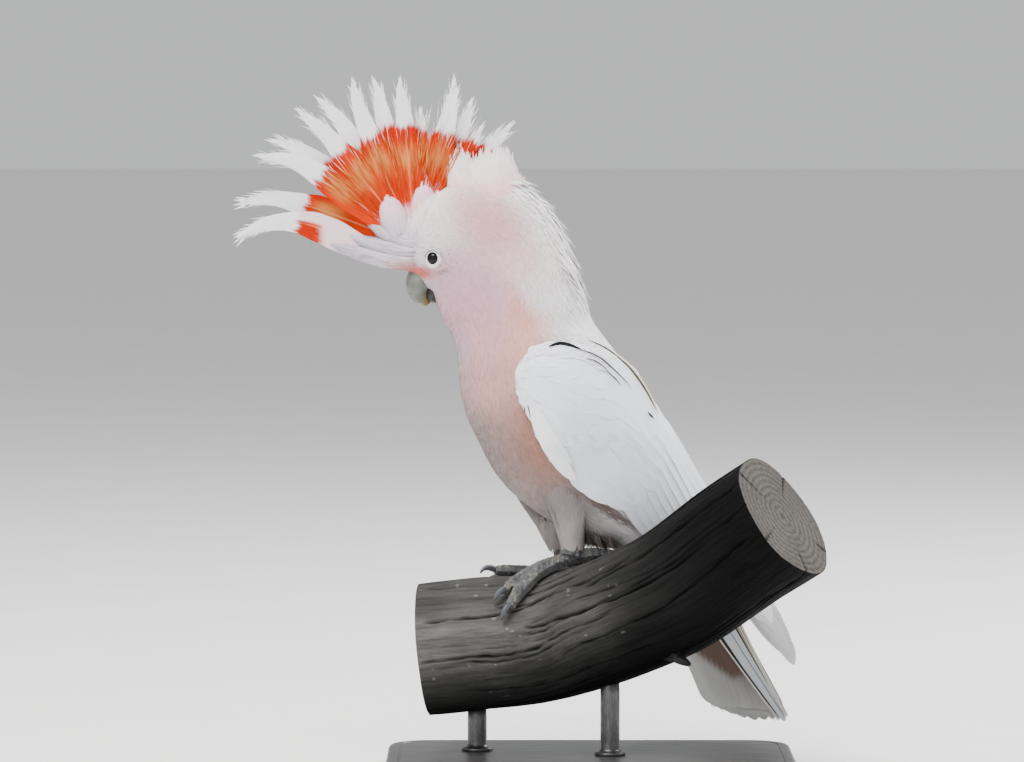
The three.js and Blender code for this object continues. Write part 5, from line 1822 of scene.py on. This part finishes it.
def perch_piece(material):
    """The cut length of dead branch: fluted, cracked along its grain, with sawn ends."""
    steps, sides = 300, 340
    share = np.linspace(0, 1, steps)
    angle = np.linspace(-math.pi, math.pi, sides, endpoint=False)
    s, a = np.broadcast_arrays(share[:, None], angle[None])
    unrolled = np.stack([np.cos(a) * PERCH_RADIUS, np.sin(a) * PERCH_RADIUS, s * PERCH_LENGTH],
                        -1).reshape(-1, 3)

    def noise(stretch, size, seed, octaves=3):
        return hash_noise(unrolled * [1, 1, stretch], size, seed, octaves).reshape(s.shape)

    ridge, fibre, lumps = noise(0.1, 7, 41), noise(0.05, 2.2, 42), noise(0.6, 30, 43, 2)
    opened, deep = open_cracks(s, a)
    bark = perch_surface(s, a, -0.3 * ridge - 0.2 * fibre - 0.6 * lumps + 0.3 + deep)
    first, first_tone = sawn_end(bark[0], 0.0, -1, angle)
    last, last_tone = sawn_end(bark[-1], 1.0, 1, angle)
    points, faces = tube(np.concatenate([first[::-1], bark, last]))

    # Silvered by weather and lit by painted light: lightest on the upper left, near black below,
    # partly as painted shade, and fading out towards the far end.
    silver_and_lit = smooth_step(-0.75, 0.8, np.cos(a - 0.6)) * smooth_step(0.92, 0.3, s)
    blotch = noise(0.4, 22, 44)
    # Painted light: the left flank is made lighter than the top, where the bird sits.
    strength = 0.075 + 0.06 * smooth_step(0.5, 1.2, a) * smooth_step(0.75, 0.45, s)
    level = 0.003 + strength * np.clip(silver_and_lit * (0.85 + 0.5 * blotch), 0, 1) ** 1.2
    level = level * (1 - 0.95 * opened) * (1 + 0.3 * ridge + 0.3 * fibre)
    fleck = smooth_step(0.8, 0.92, noise(0.3, 1.9, 45, 1)) * smooth_step(0.1, 0.5, silver_and_lit) * 0.14
    tone = np.concatenate([first_tone[::-1], level[..., None] * WOOD_GREY + fleck[..., None],
                           last_tone])
    colour = np.vstack([tone.reshape(-1, 3), tone[0, :1], tone[-1, :1]])
    piece = make_piece("branch", points, faces, material, ["perch"], colour)

    rings = len(END_RINGS)
    radius = np.concatenate([END_RINGS[::-1], np.ones(steps), END_RINGS])[:, None] * PERCH_RADIUS
    along = np.concatenate([np.zeros(rings), share, np.ones(rings)])[:, None] * PERCH_LENGTH
    grain = np.zeros((len(points), 3))
    grain[:-2] = np.stack(np.broadcast_arrays(np.cos(angle) * radius, np.sin(angle) * radius,
                                              along), -1).reshape(-1, 3)
    grain_layer(piece, grain)


def twig_piece(material):
    """The stub of a broken twig below the branch, splintered at its end."""
    start = perch_surface(np.array(0.66), np.array(165 * DEG), 6)
    end = perch_surface(np.array(0.7), np.array(160 * DEG), -9)
    t = np.linspace(0, 1, 26)
    line = [start, (start + end) / 2, end]
    centre, heading = curve(line, t), curve_heading(line, t)
    out = unit(np.cross(heading, [0, 1, 0]))
    other = np.cross(heading, out)
    a = full_turn(48)
    radius = (5.2 - 3.6 * t**1.2)[:, None] * (1 + 0.1 * np.sin(5 * a + 3 * t[:, None]))
    jag = (t[:, None] > 0.8) * 1.6 * np.sin(a * 4 + 1) * np.sin(a * 3)
    rings = (centre[:, None] + out[:, None] * (radius * np.cos(a))[..., None]
             + other[:, None] * (radius * np.sin(a))[..., None] + heading[:, None] * jag[..., None])
    points, faces = tube(rings)
    level = 0.02 + 0.05 * smooth_step(-0.4, 0.9, hash_noise(points, 3, 47))
    piece = make_piece("branch_twig", points, faces, material, (), level[:, None] * np.ones(3))
    grain_layer(piece, points)


# ------------------------------------------------------------------ the stand
BOARD_CORNER = 26
# Edge of the board: how far in from its outline, and how far below (-) its top or above its foot.
BOARD_FOOT = [(2.2, 0), (0.6, 0.5), (0, 1.6)]
BOARD_TOP = [(0, -4), (0.25, -2.4), (1.1, -1), (2.4, -0.2), (4, 0), (7.4, 0), (7.8, -0.5),
             (8.6, -0.5), (9, 0), (12, 0), (30, 0), (60, 0)]
# A rod's collar and its top: how far out from the rod, and height above its foot or below its top.
ROD_FOOT = [(3.4, 0), (3.6, 0.4), (3.6, 1.6), (3.2, 2.1), (1.4, 2.4), (0.4, 3.2), (0, 4.6), (0, 9)]
ROD_TOP = [(0, -6), (-0.2, -0.5), (-0.6, 0)]
ROD_SUNK = 0.3


def node_box(node):
    """A CAD node's lowest and highest corners, in the bird's frame."""
    return tuple(np.array(corner) / MM - [0, BIRD_Y, 0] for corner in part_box(node))


def board_piece(material):
    low, high = node_box("stand_base")
    middle, half = (low + high) / 2, (high - low) / 2
    profile = [(inset, low[2] + z) for inset, z in BOARD_FOOT]
    profile += [(inset, high[2] + z) for inset, z in BOARD_TOP]
    rings = []
    for inset, z in profile:
        r = max(BOARD_CORNER - inset, 1)
        ring = []
        for quarter, (sx, sy) in enumerate(((1, 1), (-1, 1), (-1, -1), (1, -1))):
            turn = np.linspace(0, math.pi / 2, 16) + quarter * math.pi / 2
            ring.append(np.stack([middle[0] + sx * (half[0] - inset - r) + r * np.cos(turn),
                                  middle[1] + sy * (half[1] - inset - r) + r * np.sin(turn),
                                  np.full(16, z)], 1))
        rings.append(np.vstack(ring))
    points, faces = tube(np.array(rings))
    make_piece("stand_board", points, faces, material, ["stand_base"], smooth=False)


def post_piece(index, material):
    low, high = node_box(f"stand_rod_{index}")
    middle, radius = (low + high) / 2, (high[0] - low[0]) / 2
    profile = [(radius + out, low[2] - ROD_SUNK + z) for out, z in ROD_FOOT]
    profile += [(radius + out, high[2] + z) for out, z in ROD_TOP]
    spokes = np.stack([np.cos(full_turn(56)), np.sin(full_turn(56)), np.zeros(56)], 1)
    rings = np.array([[middle[0], middle[1], z] + spokes * r for r, z in profile])
    points, faces = tube(rings)
    make_piece(f"stand_post_{index}", points, faces, material, [f"stand_rod_{index}"])


def floor_piece(material):
    bpy.ops.mesh.primitive_plane_add(size=60, location=(0, 0, -0.0002))
    plane = bpy.context.object
    plane.name = "floor"
    plane.data.materials.append(material)


# ------------------------------------------------------------------ assembly
make_camera()
make_lights()
floor_piece(floor_material())

pink = feather_material("pink_feathers")
white = feather_material("white_feathers", 34, 0.0002, 0.03)
crest = feather_material("crest_feathers", 40, 0.0003, 0.04, 0.03)
skin = skin_material()
horn, eye, foot, claw = horn_material(), eye_material(), foot_material(), claw_material()
wood = wood_material()

skin_piece(skin)
for stretch, (start, end) in enumerate(((-1, 2.2), (2.2, 4.6), (4.6, 8), (8, 12.5), (12.5, 19))):
    body_coat(f"coat_{stretch + 1}", start, end, pink)
for leg in HIPS:
    shin_coat(leg, pink)
nape_coat(pink)
vent_coat(pink)
for wing, side in (("left", -1), ("right", 1)):
    wing_plumage(wing, side, white)
    wing_fringe(wing, side, white)
    mantle_shadows_and_edges(wing, side, white)
crest_plumage(crest)
crest_fray(crest)
plume_coat(pink)
tail_plumage(white)
tail_fringe(white)
eye_pieces(eye, skin)
bill_pieces(horn)
for leg in HIPS:
    toes, claws = ([f"{part}_{i}_{leg}" for i in (1, 2, 3, 4)] for part in ("toe", "claw"))
    refined(f"foot_{leg}", [f"shank_{leg}", *toes], 0.8, 0.5, 5, foot, relief=scutes)
    refined(f"claws_{leg}", claws, 0.05, 0.3, 3, claw, colour=claw_colour)
perch_piece(wood)
twig_piece(wood)
board_piece(lacquer_material())
steel = rod_material()
for rod in (1, 2):
    post_piece(rod, steel)
